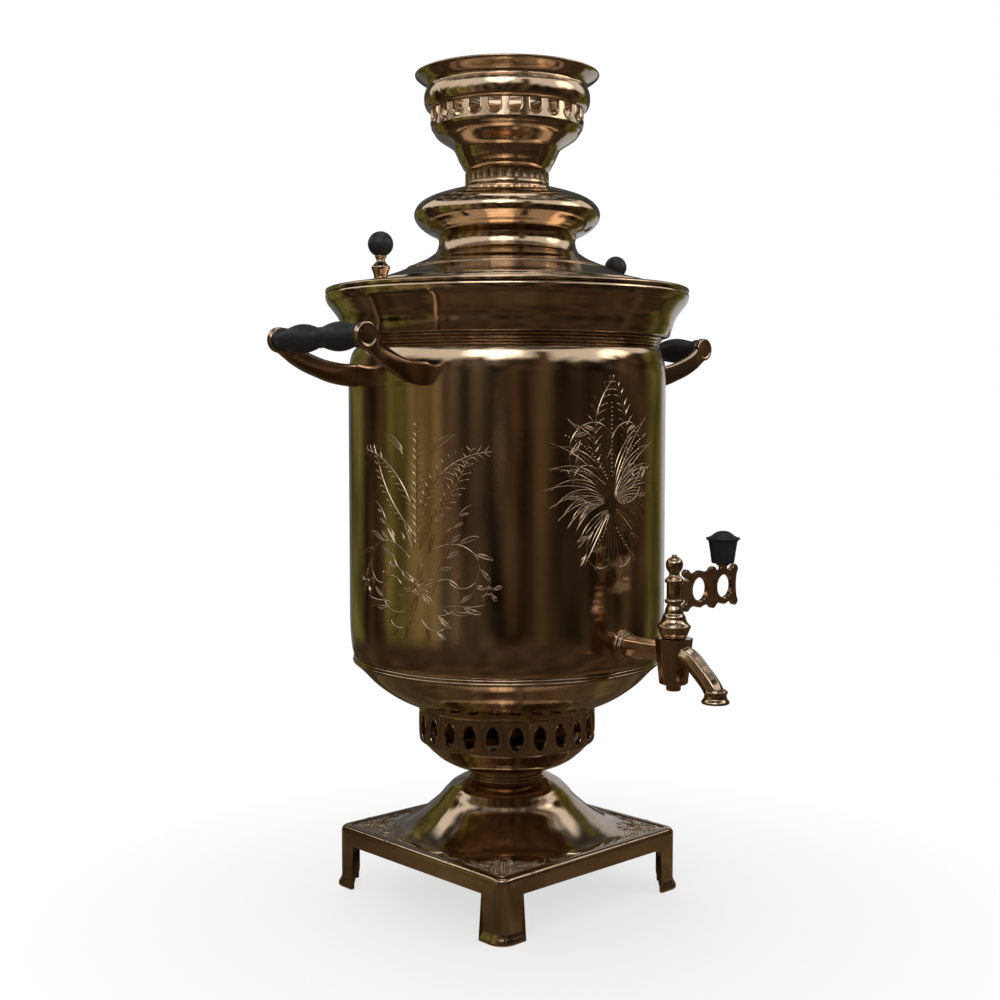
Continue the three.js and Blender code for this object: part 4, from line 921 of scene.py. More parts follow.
CROWN_RIM_LOW = [
    (48.3, -2.6), (49.6, -2.3), (51.0, -1.1), (52.0, 1.2), (52.4, 4.2), (52.2, 7.4), (51.3, 10.1),
]
CROWN_RIM_HIGH = [
    (50.2, 11.0), (50.3, 12.2), (51.0, 13.4), (52.6, 14.8), (54.6, 16.2), (56.6, 17.6), (57.7, 18.6),
    (58.1, 19.3),
]
RIM_LIP = [(58.0, 19.8), (57.6, 20)]
RIM_FLAT = 55.9  # inner radius of the flat edge that carries a teapot


def crown_rim_surface():
    """Beaded and flared rim whose flat top edge carries a teapot."""
    outer = np.vstack([flow(CROWN_RIM_LOW, 5), flow(CROWN_RIM_HIGH, 5), RIM_LIP])
    outer = softened(fitted(outer, "crown_rim"), 0.3)
    section = walled(outer, wall(), 1.6)
    return turned(np.insert(section, len(outer), (RIM_FLAT, head_of("crown_rim")), axis=0), 160)


STEM = [
    (0, -1.0), (3.7, -1.0), (4.2, 0.2), (4.1, 0.9), (4.3, 1.6), (4.9, 3.4), (5.5, 5.0), (5.6, 5.6),
    (5.2, 6.2), (4.3, 7.0), (3.1, 8.4), (2.6, 9.6), (2.7, 10.6), (3.4, 11.5), (3.5, 12.1), (2.9, 12.6),
    (0, 12.6),
]
STEM_SEAT = 12.4  # height on the stem at which its ball begins
BALL_SEAT = 3.4  # radius at which the ball starts on the stem
BALL_GAP = 0.02


def knob_surfaces(word):
    """A lid knob's turned stem and its ball, flattened a little where the stem enters."""
    low, high = span(f"lid_ball_{word}")
    centre = middle_of(f"lid_ball_{word}")[:2]
    stem = softened(STEM, 0.3, 3) + (0, low[2] - STEM_SEAT)
    radius = (high[0] - low[0]) / 2 - BALL_GAP
    turn = np.linspace(math.asin(BALL_SEAT / radius), math.pi, 22)
    ball = np.stack([radius * np.sin(turn), high[2] - radius - radius * np.cos(turn)], axis=1)
    ball = np.vstack([[0, ball[0, 1]], ball])
    ball[-1, 0] = 0
    return turned(stem, 40, centre, closed=False), turned(ball, 48, centre, closed=False)


VENT = [
    (2.0, 0), (6.6, 0), (6.6, 1.4), (6.0, 2.0), (4.6, 2.4), (4.2, 4.2), (4.6, 4.8), (6.2, 5.2),
    (6.6, 6.0), (6.2, 7.0), (4.8, 7.9), (2.6, 8.3), (2.0, 8.3),
]


def vent_surfaces():
    """Steam vent: a turned cap on a spigot that goes through the lid."""
    bottom, top = foot_of("lid_vent"), head_of("lid_vent")
    centre = middle_of("lid_vent")[:2]
    cap = softened(VENT, 0.3, 3, closed=True) + (0, top - VENT[-1][1])
    spigot = [(2.6, bottom), (4.2, bottom), (4.2, top - 7), (2.6, top - 7)]
    return [turned(cap, 48, centre), turned(spigot, 32, centre)]


# Handles


ARM_UPPER = [
    (5.2, 5.4), (1.0, 6.9), (-3.4, 5.5), (-6.8, 0.8), (-12.2, -3.9), (-21.2, -8.1), (-29.8, -11.1),
    (-40.7, -13), (-54, -13.2),
]
ARM_LOWER = [
    (6.2, -4.2), (3.9, -5.6), (0, -8.1), (-8.6, -14), (-15.2, -17.9), (-22.6, -21.1), (-33, -24.9),
    (-45.2, -27), (-54, -27),
]
DISC = [
    (0, 0.5), (4.9, 0.5), (5.5, 0.35), (6.0, 0.0), (6.9, 0.0), (7.35, 0.25), (7.5, 0.7), (7.5, 3.5),
    (7.2, 4.0), (6.6, 4.2), (0, 4.2),
]
ARM_MIDDLE, ARM_HALF = 2.3, 1.9  # middle and half of an arm's thickness, from its outer face
ARM_SQUARENESS = 0.38
LEAN_START = -7.5  # the arms lean in from here on, measured from the grip's axis
LEAN_SHARE = 8.5 / 37.7  # of the way towards the body
SKIN_DEPTH = 0.5  # how far under the body's skin the arms end
STRAP_DRAW = 10.0  # how far each end of a strap draws in, to meet the leaning arms
STRAP_GAP, STRAP_THICK = 0.3, 1.5


def arm_surfaces():
    """One arm of the right handle, at the front: a curved bar lofted between its upper and lower
    edges with rounded section, and a bevelled disc at its end. Beyond the disc the bar leans in
    towards the other arm by an even share of the way, and its points stop just under the skin of
    the body."""
    grip = middle_of("handle_right_grip")
    face = span("handle_right_arm_front")[0][1]
    upper, lower = flow(ARM_UPPER, 6), flow(ARM_LOWER, 6)
    turn = np.linspace(0, TURN, 28, endpoint=False)
    across, through = (np.sign(f(turn)) * np.abs(f(turn)) ** ARM_SQUARENESS for f in (np.cos, np.sin))
    middle, reach = (upper + lower) / 2, (upper - lower) / 2
    flat = middle[:, None] + reach[:, None] * across[None, :, None]
    lean = np.maximum(LEAN_START - flat[..., 0], 0) * LEAN_SHARE
    depth = face + ARM_MIDDLE + ARM_HALF * through + lean
    skin_x = AXIS[0] + np.sqrt((BODY_RADIUS - SKIN_DEPTH) ** 2 - (depth - AXIS[1]) ** 2)
    grid = np.stack([np.maximum(grip[0] + flat[..., 0], skin_x), depth, grip[2] + flat[..., 1]], axis=-1)
    first, last = (0 * grid[:1] + end.mean(axis=0) for end in (grid[0], grid[-1]))
    bar = skin(np.concatenate([first, grid, last]), loop_rows=False)
    disc = turned(softened(DISC, 0.2, 3), 64, (0, 0), closed=False)
    return [bar, laid(disc, (grip[0], face, grip[2]))]


GRIP = [
    (2.7, 0), (5.7, 0), (5.95, 0.3), (6.0, 0.9), (5.6, 1.5), (5.4, 2.2), (5.6, 3.0), (6.4, 5.4),
    (7.4, 9.4), (8.15, 13.6), (8.4, 17.6), (8.1, 21.6), (7.4, 25.4), (6.6, 29.0), (6.2, 31.6),
    (6.15, 33.6), (6.5, 34.6), (6.9, 35.4), (7.0, 36.4), (6.9, 38.2), (6.5, 39.0), (2.7, 39.0),
]


def grip_surface(word):
    """Turned grip: two swells with a fine bead between them and a collar at each end."""
    half = flow(GRIP[1:-1], 4)
    bore, end = GRIP[-1]
    section = np.vstack([half[::-1] * (1, -1), half[1:], [(bore, end), (bore, -end)]])
    return laid(turned(section, 56, (0, 0)), middle_of(f"handle_{word}_grip"))


def strap_surface(word):
    """Thin strap that hugs the body between the two arms of a handle."""
    low, high = span(f"handle_{word}_strap")
    side = 1 if word == "right" else -1
    inner, outer = BODY_RADIUS + STRAP_GAP, BODY_RADIUS + STRAP_GAP + STRAP_THICK
    half = math.asin(((high[1] - low[1]) / 2 - STRAP_DRAW) / outer)
    angle = np.linspace(-half, half, 40)[None]
    corners = [(inner, low[2]), (outer, low[2]), (outer, high[2]), (inner, high[2])]
    section = softened(corners, 0.4, 3, closed=True)
    r, z = section[:, 0:1], section[:, 1:2]
    x, y = side * r * np.cos(angle), r * np.sin(angle)
    grid = np.stack([x, y, z + 0 * angle], axis=-1) + (*AXIS, 0)
    first, last = (0 * grid[:, :1] + grid[:, end].mean(axis=0) for end in (0, -1))
    return skin(np.concatenate([first, grid, last], axis=1), loop_columns=False)


# Tap


def tap_height():
    """Height of the pipe's axis: the middle of the nut inside the body."""
    return middle_of("tap_nut")[2]


VALVE_FOOT = [(0, 0), (5.0, 0), (5.0, 0.8), (8.0, 0.8), (8.5, 1.4)]
VALVE_HEAD = [(11.2, 0.8), (11.4, 0), (7.6, 0), (7.6, 2), (0, 2)]  # radius, and depth below the top
PIPE_SWELLS = [(6.2, 0), (6.5, 6), (6.2, 16), (6.5, 26)]
PIPE_END = [(6.9, 3.9), (6.9, 1)]  # radius, and distance from the body


def tap_body_surfaces():
    """Eight-sided valve body, slightly hollow at its foot, and the eight-sided pipe behind it."""
    bottom, top = foot_of("tap_body"), head_of("tap_body")
    head = [(radius, top - bottom - depth) for radius, depth in VALVE_HEAD]
    valve = softened(VALVE_FOOT + head, 0.25, 3) + (0, bottom)
    reach = AXIS[1] - BODY_RADIUS - PLUG_AXIS[1]
    pipe = flow(PIPE_SWELLS + [(radius, reach - back) for radius, back in PIPE_END], 3)
    pipe = faceted(np.vstack([[0, pipe[0, 1]], pipe, [0, pipe[-1, 1]]]), (0, 0))
    return [faceted(valve, PLUG_AXIS), laid(pipe, (*PLUG_AXIS, tap_height()))]


FLANGE = [
    (5.6, -4), (9.6, -4), (9.8, -3.6), (9.8, 1.3), (9.4, 1.8), (8.6, 1.9), (8.2, 2.3), (8.4, 2.8),
    (8.3, 3.6), (7.6, 4.3), (5.6, 4.4),
]


def tap_flange_surface():
    """Stepped eight-sided flange on the wall."""
    line = softened(FLANGE, 0.3, 3, closed=True) * (1, -1)
    return laid(faceted(line, (0, 0), 0.03, closed=True), (AXIS[0], AXIS[1] - BODY_RADIUS, tap_height()))


SPOUT_PATH = [
    (0, 0), (5, 0), (9.2, -0.4), (13.7, -2.4), (20, -7.9), (25.9, -13.4), (29.3, -18.0), (30.5, -22.0),
]
SPOUT_RADIUS, SPOUT_WAIST = 6.6, 0.9  # the waist is how far the spout draws in along its way
MOUTH_LIFT = 3.0  # the mouth's rim over the node's foot
MOUTH = [
    (3.2, 0), (7.2, 0), (7.8, 0.35), (8.0, 1.1), (7.6, 1.9), (6.7, 3.0), (6.3, 4.4), (6.3, 5.6),
    (6.9, 6.2), (7.0, 6.9), (6.6, 7.5), (5.8, 8.0), (5.0, 8.4), (3.2, 8.4),
]


def swept(path, radii):
    """Eight-sided section carried along a path in a plane of even X. The section's plane is square
    to the path's own direction, found from the difference of its neighbours."""
    tangent = np.gradient(path, axis=0)
    tangent /= np.linalg.norm(tangent, axis=1)[:, None]
    side = np.array([1.0, 0.0, 0.0])
    up = np.cross(tangent, side)
    a = np.linspace(0, TURN, SIDES * 10, endpoint=False)
    out = radii[:, None] * facets()(a, 0)
    return path[:, None] + out[..., None] * (np.sin(a)[:, None] * side - np.cos(a)[:, None] * up[:, None])


def tap_spout_surfaces():
    """Curved eight-sided spout and its round flared mouth, open below."""
    line = flow(SPOUT_PATH, 4) * (-1, 1) + (PLUG_AXIS[1], tap_height())
    path = np.column_stack([np.full(len(line), PLUG_AXIS[0]), line])
    radii = SPOUT_RADIUS - SPOUT_WAIST * np.sin(np.linspace(0, 1, len(path)) * math.pi * 0.75)
    tube = swept(path, radii)
    first, last = 0 * tube[:1] + path[0], 0 * tube[:1] + path[-1]
    mouth = softened(MOUTH, 0.3, 3, closed=True) + (0, foot_of("tap_spout") + MOUTH_LIFT)
    return [
        skin(np.concatenate([first, tube, last]), loop_rows=False),
        turned(mouth, 72, (PLUG_AXIS[0], PLUG_AXIS[1] - SPOUT_PATH[-1][0])),
    ]


PLUG_LOWER = [(0, 0), (3.6, 0), (4.2, 0.5), (4.4, 3.4), (6.4, 30.9), (7.4, 31.2), (7.4, 32.0)]
PLUG_SKIRT = [
    (7.85, 32.3), (8.7, 34.6), (9.4, 36.4), (9.8, 37.1), (9.7, 37.8), (8.9, 38.6), (7.9, 39.8),
    (7.0, 41.6), (6.6, 43.2), (6.05, 44.2), (5.5, 45.0), (5.3, 46.4), (4.85, 47.8), (4.3, 49.2),
    (4.0, 50.2),
]
PLUG_RING = [(4.3, 50.6), (5.2, 51.0), (5.5, 52.0), (5.2, 52.9), (4.5, 53.4), (0, 53.4)]
PLUG_BARREL = [(0, 53.2), (4.5, 53.2), (4.5, 62.6), (0, 62.6)]
PLUG_TOP = [
    (4.5, 62.4), (5.3, 62.9), (5.5, 63.8), (5.1, 64.7), (4.2, 65.6), (3.3, 66.5), (3.0, 67.5),
    (3.2, 68.5), (4.2, 70.0), (4.85, 71.5), (5.0, 73.0), (4.85, 74.4), (4.2, 75.7), (3.2, 76.7),
    (2.1, 77.3), (1.5, 77.6), (1.7, 78.1), (1.4, 78.5), (0.7, 78.75), (0, 78.8),
]


def tap_plug_surfaces():
    """Turned plug with a bell, an eight-sided barrel between rings, and a finial."""
    foot = (0, foot_of("tap_plug"))
    lower = softened(np.vstack([PLUG_LOWER, flow(PLUG_SKIRT, 3), PLUG_RING]) + foot, 0.2, 3)
    barrel = softened(PLUG_BARREL + np.array([foot]), 0.15, 3)
    top = np.vstack([[(0, PLUG_TOP[0][1])], flow(PLUG_TOP, 3)]) + foot
    return [
        turned(lower, 72, PLUG_AXIS, closed=False),
        turned(barrel, SIDES * 10, PLUG_AXIS, facets(), closed=False),
        turned(top, 72, PLUG_AXIS, closed=False),
    ]


KEY_LIFT = 3.1  # the drawn plug is this much taller than its node, and its key sits higher with it
KEY_HOOK, KEY_HORN = 5.0, 2.2  # what reaches past the bays at the plug and at the free end
BAY_JOINT = 34.4  # where the two bays meet, from the plug's axis
KEY_HALF, KEY_BEVEL = 1.7, 0.5  # half of the plate's thickness, and its bevel
KEY_HOLE = 6.9
KEY_BELOW_KNOB = 1.1  # from the plate's upper corners to the knob
# Upper edge of a bay up to its middle: share of the bay's half length, length added, and height.
ARCH = [
    (1, 0, 12.4), (1, -1.0, 12.1), (1, -2.0, 10.8), (0.55, 0, 9.7), (0.3, 0, 9.9), (0.12, 0, 10.6),
    (0, 0, 10.9),
]
# Ends of a bay down to the level: length past it, and height.
PLAIN_END = [(0, 9.0), (0, 4.0), (0, 0)]
HOOK_END = [
    (-1.9, 11.2), (-2.2, 9.8), (-1.4, 8.6), (0.4, 8.2), (0.9, 7.0), (-0.5, 5.0), (-3.5, 4.6), (-5.0, 4.4),
    (-5.0, 0),
]
HORN_END = [(1.6, 11.4), (2.2, 9.8), (1.2, 7.5), (0.6, 4.5), (0.3, 0)]
POST = [(0, 8.0), (2.6, 8.0), (2.5, 11.6), (3.9, 12.5), (3.9, 13.1), (2.4, 13.6), (2.4, 17.4), (0, 17.4)]


def bay_border(half, hooked):
    """Border of a bay about its hole's middle, from the upper edge round by the left end: the bay
    at the plug has a hooked left end, and the other one a horned right end."""
    arch = np.array([(share * half + more, height) for share, more, height in ARCH])
    upper = flow(np.vstack([arch, arch[-2::-1] * (-1, 1)]), 4)
    left, right = mirrored_down(PLAIN_END), mirrored_down(PLAIN_END)
    if hooked:
        left = flow(mirrored_down(HOOK_END), 3)
    else:
        right = flow(mirrored_down(HORN_END), 3)
    return np.vstack([upper, left - (half, 0), (upper * (1, -1))[::-1], right[::-1] + (half, 0)])


def key_surfaces():
    """Key plate: two bays, each a blend from a round hole to the bay's scalloped border, with
    bevelled edges, a hooked end at the plug and a post for the knob."""
    low, high = span("tap_key")
    level = foot_of("tap_knob") + KEY_LIFT - KEY_BELOW_KNOB - ARCH[0][2]
    stations = (low[0] - PLUG_AXIS[0] + KEY_HOOK, BAY_JOINT, high[0] - PLUG_AXIS[0] - KEY_HORN)
    post = softened(POST, 0.3, 3) + (0, level)
    parts = [turned(post, 32, middle_of("tap_knob")[:2], closed=False)]
    for start, end in zip(stations, stations[1:]):
        border = bay_border((end - start) / 2, start == stations[0])
        line = spaced(np.vstack([border, border[:1]]), 220, endpoint=False)
        hole = KEY_HOLE * line / np.linalg.norm(line, axis=1)[:, None]
        bevel = KEY_BEVEL * (line - hole) / np.linalg.norm(line - hole, axis=1)[:, None]
        near = [(line, KEY_HALF - KEY_BEVEL), (line - bevel, KEY_HALF)]
        near += [(hole + bevel, KEY_HALF), (hole, KEY_HALF - KEY_BEVEL)]
        rows = [(flat, -depth) for flat, depth in near] + near[::-1]
        middle = (PLUG_AXIS[0] + (start + end) / 2, PLUG_AXIS[1], level)
        grid = [np.insert(flat, 1, depth, axis=1) + middle for flat, depth in rows]
        parts.append(skin(np.array(grid)))
    return parts


KNOB = [
    (0, 0), (6.3, 0), (6.7, 0.4), (6.9, 1.6), (7.6, 7.0), (8.5, 12.6), (8.8, 13.4), (9.9, 14.2),
    (10.2, 14.7), (9.9, 15.2), (8.4, 15.6), (6.8, 16.4), (5.4, 17.6), (3.6, 18.7), (1.8, 19.15),
    (0, 19.2),
]


def tap_knob_surface():
    """Key knob: a tapered barrel under a domed cap with a thin brim."""
    line = fitted(softened(KNOB, 0.5, 4), "tap_knob") + (0, KEY_LIFT)
    return turned(line, 64, middle_of("tap_knob")[:2], closed=False)


# Chased ornament: strokes on the body and the base plate, drawn about a panel's middle


def stroke(start, heading, length, bend, last_bend=None, width=1.0, steps=26):
    """Line in the panel's plane whose heading turns at a rate that changes evenly from bend to
    last_bend, in degrees per millimetre. Returns its points and half widths, thin at both ends."""
    last_bend = bend if last_bend is None else last_bend
    s = np.linspace(0, length, steps)
    turn = math.radians(heading) + np.radians(bend) * s + np.radians(last_bend - bend) * s**2 / (2 * length)
    between, step = (turn[1:] + turn[:-1]) / 2, length / (steps - 1)
    x = start[0] + np.concatenate([[0], np.cumsum(np.cos(between))]) * step
    y = start[1] + np.concatenate([[0], np.cumsum(np.sin(between))]) * step
    return np.stack([x, y], axis=1), width / 2 * np.sin(np.linspace(0, math.pi, steps)) ** 0.6


def point_on(line, share):
    """A stroke's point at a share of its length, and its heading there."""
    i = int(share * (len(line) - 2))
    ahead = line[i + 1] - line[i]
    return line[i], math.degrees(math.atan2(ahead[1], ahead[0]))


def leaf(start, heading, length, bend, fullness=0.35, width=0.8):
    """Pointed leaf: two sides that bow apart and meet at the tip, and a shorter rib between."""
    lean = math.degrees(fullness)
    bow = 2 * lean / length
    return [
        stroke(start, heading + lean, length, bend - bow, width=width, steps=18),
        stroke(start, heading - lean, length, bend + bow, width=width, steps=18),
        stroke(start, heading, length * 0.7, bend, width=width * 0.7, steps=12),
    ]


LEAF_SPREAD, LEAF_BEND = 48, 1.6  # of a scroll's leaves, in degrees and degrees per millimetre
BARB_SPREAD, BARB_BENDS = 34, (1.5, 9.0)  # of a plume's barbs


def scroll(start, heading, length, bend, last_bend, leaves, side=1, width=1.1):
    """Curling stem with leaves along one side, each a share of the way along and a length."""
    strokes = [stroke(start, heading, length, bend, last_bend, width, 40)]
    for share, size in leaves:
        place, ahead = point_on(strokes[0][0], share)
        strokes += leaf(place, ahead - side * LEAF_SPREAD, size, side * LEAF_BEND)
    return strokes


def plume(start, heading, length, bend, barbs, size, width=1.1):
    """Curved quill with a row of small curls along both sides, longest in the middle."""
    strokes = [stroke(start, heading, length, bend, bend * 1.6, width, 44)]
    for k in range(barbs):
        share = 0.1 + 0.84 * k / (barbs - 1)
        place, ahead = point_on(strokes[0][0], share)
        reach = size * (0.45 + 0.55 * math.sin(math.pi * share))
        for side in (1, -1):
            bends = (side * bend for bend in BARB_BENDS)
            strokes.append(stroke(place, ahead + side * BARB_SPREAD, reach, *bends, 0.7, 14))
    return strokes


def blossom(middle, size, petals=5, turn=0.3):
    """Open flower: a ring of petals round a small curl."""
    strokes = []
    for a in turn + np.arange(petals) * TURN / petals:
        start = (middle[0] + 0.32 * size * math.cos(a), middle[1] + 0.32 * size * math.sin(a))
        strokes += leaf(start, math.degrees(a), 0.72 * size, 0.8, 0.62)
    eye = 0.27 * size
    around = TURN * eye
    strokes.append(stroke((middle[0] + eye, middle[1]), 90, around, 360 / around, width=0.8, steps=24))
    curl = (middle[0] + 0.5 * eye, middle[1])
    strokes.append(stroke(curl, 90, 2.2 * eye, 620 / around, 900 / around, 0.7, 20))
    return strokes


def both_sides(strokes):
    """The strokes, and the same seen in a mirror across the panel's upright middle line."""
    return strokes + [(points * (-1, 1), half) for points, half in strokes]


def plume_panel():
    """Tall panel: a double flower low down with leafy scrolls under it, two facing scrolls above,
    plumes that part at the top, and small flowers at the sides."""
    half = [
        *scroll(
            (4, -18), 50, 86, -1.4, -7.2,
            [(0.08, 13), (0.2, 15), (0.32, 14), (0.45, 12), (0.57, 10), (0.68, 7)], side=-1,
        ),
        *scroll((9, -26), 20, 52, 4.4, -4.5, [(0.14, 9), (0.3, 10), (0.48, 9), (0.66, 7), (0.82, 6)]),
        *scroll((8, -48), -24, 60, 3.0, 8.6, [(0.12, 12), (0.27, 12), (0.42, 10), (0.56, 7)]),
        *scroll((3, -52), -62, 34, 3.4, 10.5, [(0.2, 9), (0.42, 8)]),
        *plume((2, 8), 74, 64, -0.9, 12, 8.5),
        *plume((6, 2), 42, 58, 0.5, 11, 7.5),
        *leaf((2, -12), 78, 20, -1.2, 0.34),
        *leaf((10, 44), 60, 20, -2.2, 0.34),
        *blossom((45, -34), 8.0),
        stroke((18, -44), 8, 26, -2.0, 3.4, 0.9, 24),
        *leaf((30, -44), -28, 12, 1.5, 0.4),
    ]
    flower = blossom((0, -34), 15, 6) + blossom((0, -34), 8.5, 5, 0.9)
    return flower + both_sides(half) + plume((0, -16), 90, 84, 0.0, 15, 8.0, 1.2)


def fan_panel():
    """Wider panel: a palmette of curved leaves and plumes rising from one root, with drooping
    leaves below and scrolls that close it at the sides."""
    half = [
        *plume((6, 2), 66, 56, 1.0, 11, 7.0),
        *scroll(
            (10, -4), 26, 74, 1.6, 6.6,
            [(0.1, 9), (0.22, 10), (0.35, 10), (0.48, 9), (0.6, 7)], side=-1,
        ),
        *leaf((2, -12), -30, 26, -1.2, 0.34),
        *leaf((1.6, -13), -46, 30, -1.0, 0.26),
        *leaf((1.2, -14), -66, 34, -0.8, 0.28),
        *scroll((4, -9), -10, 50, 2.0, 11.0, [(0.16, 9), (0.32, 9), (0.5, 7)]),
        *scroll((9, -20), -40, 34, -2.6, -9.0, [(0.2, 8), (0.45, 7)], side=-1),
    ]
    for k, lean in enumerate(np.linspace(6, 124, 8)):
        root = (1.0 + k * 0.5, -6 - k * 0.4)
        half += leaf(root, 90 - lean * 0.74, 48 - 3.6 * k, -1.2 - 0.32 * k, 0.2)
    return both_sides(half) + leaf((0, -14), -90, 30, 0.0, 0.24)


# Rows of beads between the palmette's leaves: start, lean from upright in degrees, length, bend,
# steps, and the first step that has a bead.
BEAD_ROWS = [
    (-4, 0, 44, 0.0, 22, 4), (-4, 17, 40, -1.3, 22, 4), (-4, -17, 40, 1.3, 22, 4),
    (-4, 38, 32, -1.9, 22, 4), (-4, -38, 32, 1.9, 22, 4), (-16, 150, 24, 0.6, 12, 3),
    (-16, -150, 24, -0.6, 12, 3),
]


def fan_beads():
    """Middles of the palmette's beads, in the panel's plane."""
    return np.vstack([
        stroke((0, start), 90 - lean, length, bend, steps=steps)[0][first:]
        for start, lean, length, bend, steps, first in BEAD_ROWS
    ])


def corner_panel():
    """Foliate scrolls for a corner of the base plate; the panel's upright line is the diagonal."""
    half = [
        *scroll(
            (1.5, 97), -50, 44, -1.6, -8,
            [(0.08, 6), (0.2, 7), (0.32, 7), (0.45, 6), (0.57, 5)], side=-1, width=0.8,
        ),
        *scroll((2, 92), -74, 32, 3.0, 12, [(0.14, 6), (0.3, 6), (0.46, 5)], width=0.8),
        *scroll((10, 86), -30, 30, 1.0, -9, [(0.2, 5.5), (0.42, 5)], width=0.7),
        *leaf((1, 86), -70, 13, 2.5, 0.4, 0.6),
        *leaf((16, 80), -52, 10, -2.0, 0.4, 0.6),
        *plume((3, 78), 62, 20, 2.2, 9, 3.6, 0.7),
        *scroll((22, 73), 24, 26, -3.0, -12, [(0.16, 5), (0.34, 5), (0.52, 4)], side=-1, width=0.7),
        *plume((26, 70), -14, 20, -1.6, 9, 3.2, 0.7),
    ]
    tip = leaf((0, 97), -90, 16, 0, 0.4, 0.7)
    return tip + both_sides(half) + plume((0, 76), 90, 19, 0.0, 9, 3.6, 0.7)


BEAD_STEP, ROW_STEP = 1.9, 1.7
GROUND_START, GROUND_END = 76, 102  # rows of beads along the diagonal
GROUND_TIP, GROUND_RADIUS = 104, 74.5  # tip of their triangle, and the circle that they stay outside


def corner_beads():
    """Middles of fine beads that fill the ground between a corner's scrolls: even rows, each half a
    step over from the last, kept inside the corner's triangle."""
    columns, rows = np.arange(-30, 31, BEAD_STEP), np.arange(GROUND_START, GROUND_END, ROW_STEP)
    across, along = np.meshgrid(columns, rows)
    across = across + BEAD_STEP / 2 * (np.round((along - GROUND_START) / ROW_STEP) % 2)
    kept = (np.abs(across) < GROUND_TIP - along) & (np.hypot(across, along) > GROUND_RADIUS)
    return np.stack([across[kept], along[kept]], axis=1)


# Sections of a raised line and of a bead: share of the half width, and share of the height.
RIDGE = np.array([(-1.0, -0.15), (-0.55, 0.72), (0.0, 1.0), (0.55, 0.72), (1.0, -0.15), (0.0, -0.5)])
BEAD = np.array([(1.0, -0.2), (0.72, 0.6), (0.0, 0.95)])


def raised_lines(strokes, lay, height):
    """Strokes as low ridges. Across each, five points give a rounded ridge and one closes it below;
    lay(points) sets a panel's points on the surface and gives the surface's outward direction."""
    ridges = []
    for points, half in strokes:
        tangent = np.gradient(points, axis=0)
        tangent /= np.maximum(np.linalg.norm(tangent, axis=1), 1e-9)[:, None]
        side = np.stack([-tangent[:, 1], tangent[:, 0]], axis=1)
        flat = points[:, None] + side[:, None] * (half[:, None] * RIDGE[:, 0])[..., None]
        place, normal = lay(flat.reshape(-1, 2))
        lift = (height * half[:, None] / half.max() * RIDGE[:, 1]).reshape(-1, 1)
        ridges.append(skin((place + normal * lift).reshape(*flat.shape[:2], 3), loop_rows=False))
    return ridges


def raised_beads(middles, lay, size):
    """Beads as low domes of six sides."""
    turn = np.linspace(0, TURN, 6, endpoint=False)
    ring = np.stack([np.cos(turn), np.sin(turn)], axis=1)
    flat = middles[:, None, None] + size * BEAD[:, None, :1] * ring
    place, normal = lay(flat.reshape(-1, 2))
    lift = np.broadcast_to(size * BEAD[:, None, 1:], (*flat.shape[:3], 1)).reshape(-1, 1)
    domes = (place + normal * lift).reshape(*flat.shape[:3], 3)
    closed = [np.concatenate([0 * dome[:1] + dome[0].mean(axis=0), dome]) for dome in domes]
    return [skin(dome, loop_rows=False) for dome in closed]


def on_shell(direction, height):
    """Lays a panel on the body about a direction in degrees from -Y towards -X, at a height over the
    shell's foot."""

    def lay(points):
        z = foot_of("body_shell") + height + points[:, 1]
        a = math.radians(direction) - points[:, 0] / BODY_RADIUS
        normal = np.stack([-np.sin(a), -np.cos(a), 0 * a], axis=1)
        place = normal * shell_radius(z)[:, None] + (*AXIS, 0)
        place[:, 2] = z
        return place, normal

    return lay


def on_plate(quarter):
    """Lays a panel on the base plate, its upright line along a diagonal. The sheet rises towards the
    dome by the square of its share of the way in from the plate's raised border."""
    field = head_of("base_plate") - DOME_HEIGHT - FIELD_SINK
    border = reach_of("base_plate") - BORDER
    dome_radius, dome_rise = DOME[-1]
    a = (quarter + 0.5) * QUARTER

    def lay(points):
        along, beside = np.array([math.cos(a), math.sin(a)]), np.array([math.sin(a), -math.cos(a)])
        offset = points[:, 1:] * along + points[:, :1] * beside
        out = np.linalg.norm(offset, axis=1)
        limit = border * out / np.abs(offset).max(axis=1)
        share = np.clip((out - dome_radius) / (limit - dome_radius), 0, 1)
        place = np.column_stack([AXIS + offset, field + dome_rise * (1 - share) ** 2])
        return place, np.broadcast_to([0.0, 0.0, 1.0], place.shape)

    return lay


# Operators


class SAMOVAR_OT_finishes(bpy.types.Operator):
    """Make the brass, wood and iron finishes"""

    bl_idname = "samovar.finishes"
    bl_label = "Finishes"

    def execute(self, context):
        make_finishes(context.scene.samovar_looks)
        return {"FINISHED"}


class SAMOVAR_OT_base(bpy.types.Operator):
    """Build the footed base and its ringed neck"""

    bl_idname = "samovar.base"
    bl_label = "Base"

    def execute(self, context):
        feet = [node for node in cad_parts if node.startswith("base_foot")]
        piece("footed_base", [base_surface()], "sheet", "samovar", "base_plate", *feet)
        piece("ringed_neck", base_neck_surfaces(), "sheet", "samovar", "base_neck")
        return {"FINISHED"}


class SAMOVAR_OT_fire_box(bpy.types.Operator):
    """Build the ash bowl and the air ring, and give the fire tube and the grate their finishes"""

    bl_idname = "samovar.fire_box"
    bl_label = "Fire Box"

    def execute(self, context):
        piece("ash_bowl_skin", [ash_bowl_surface()], "sheet", "samovar", "ash_bowl")
        piece("air_ring_panels", air_ring_surfaces(), "cast", "samovar", "air_ring", crease=OPEN_CREASE)
        kept_node("fire_tube", "tinned")
        kept_node("fire_grate", "soot")
        return {"FINISHED"}


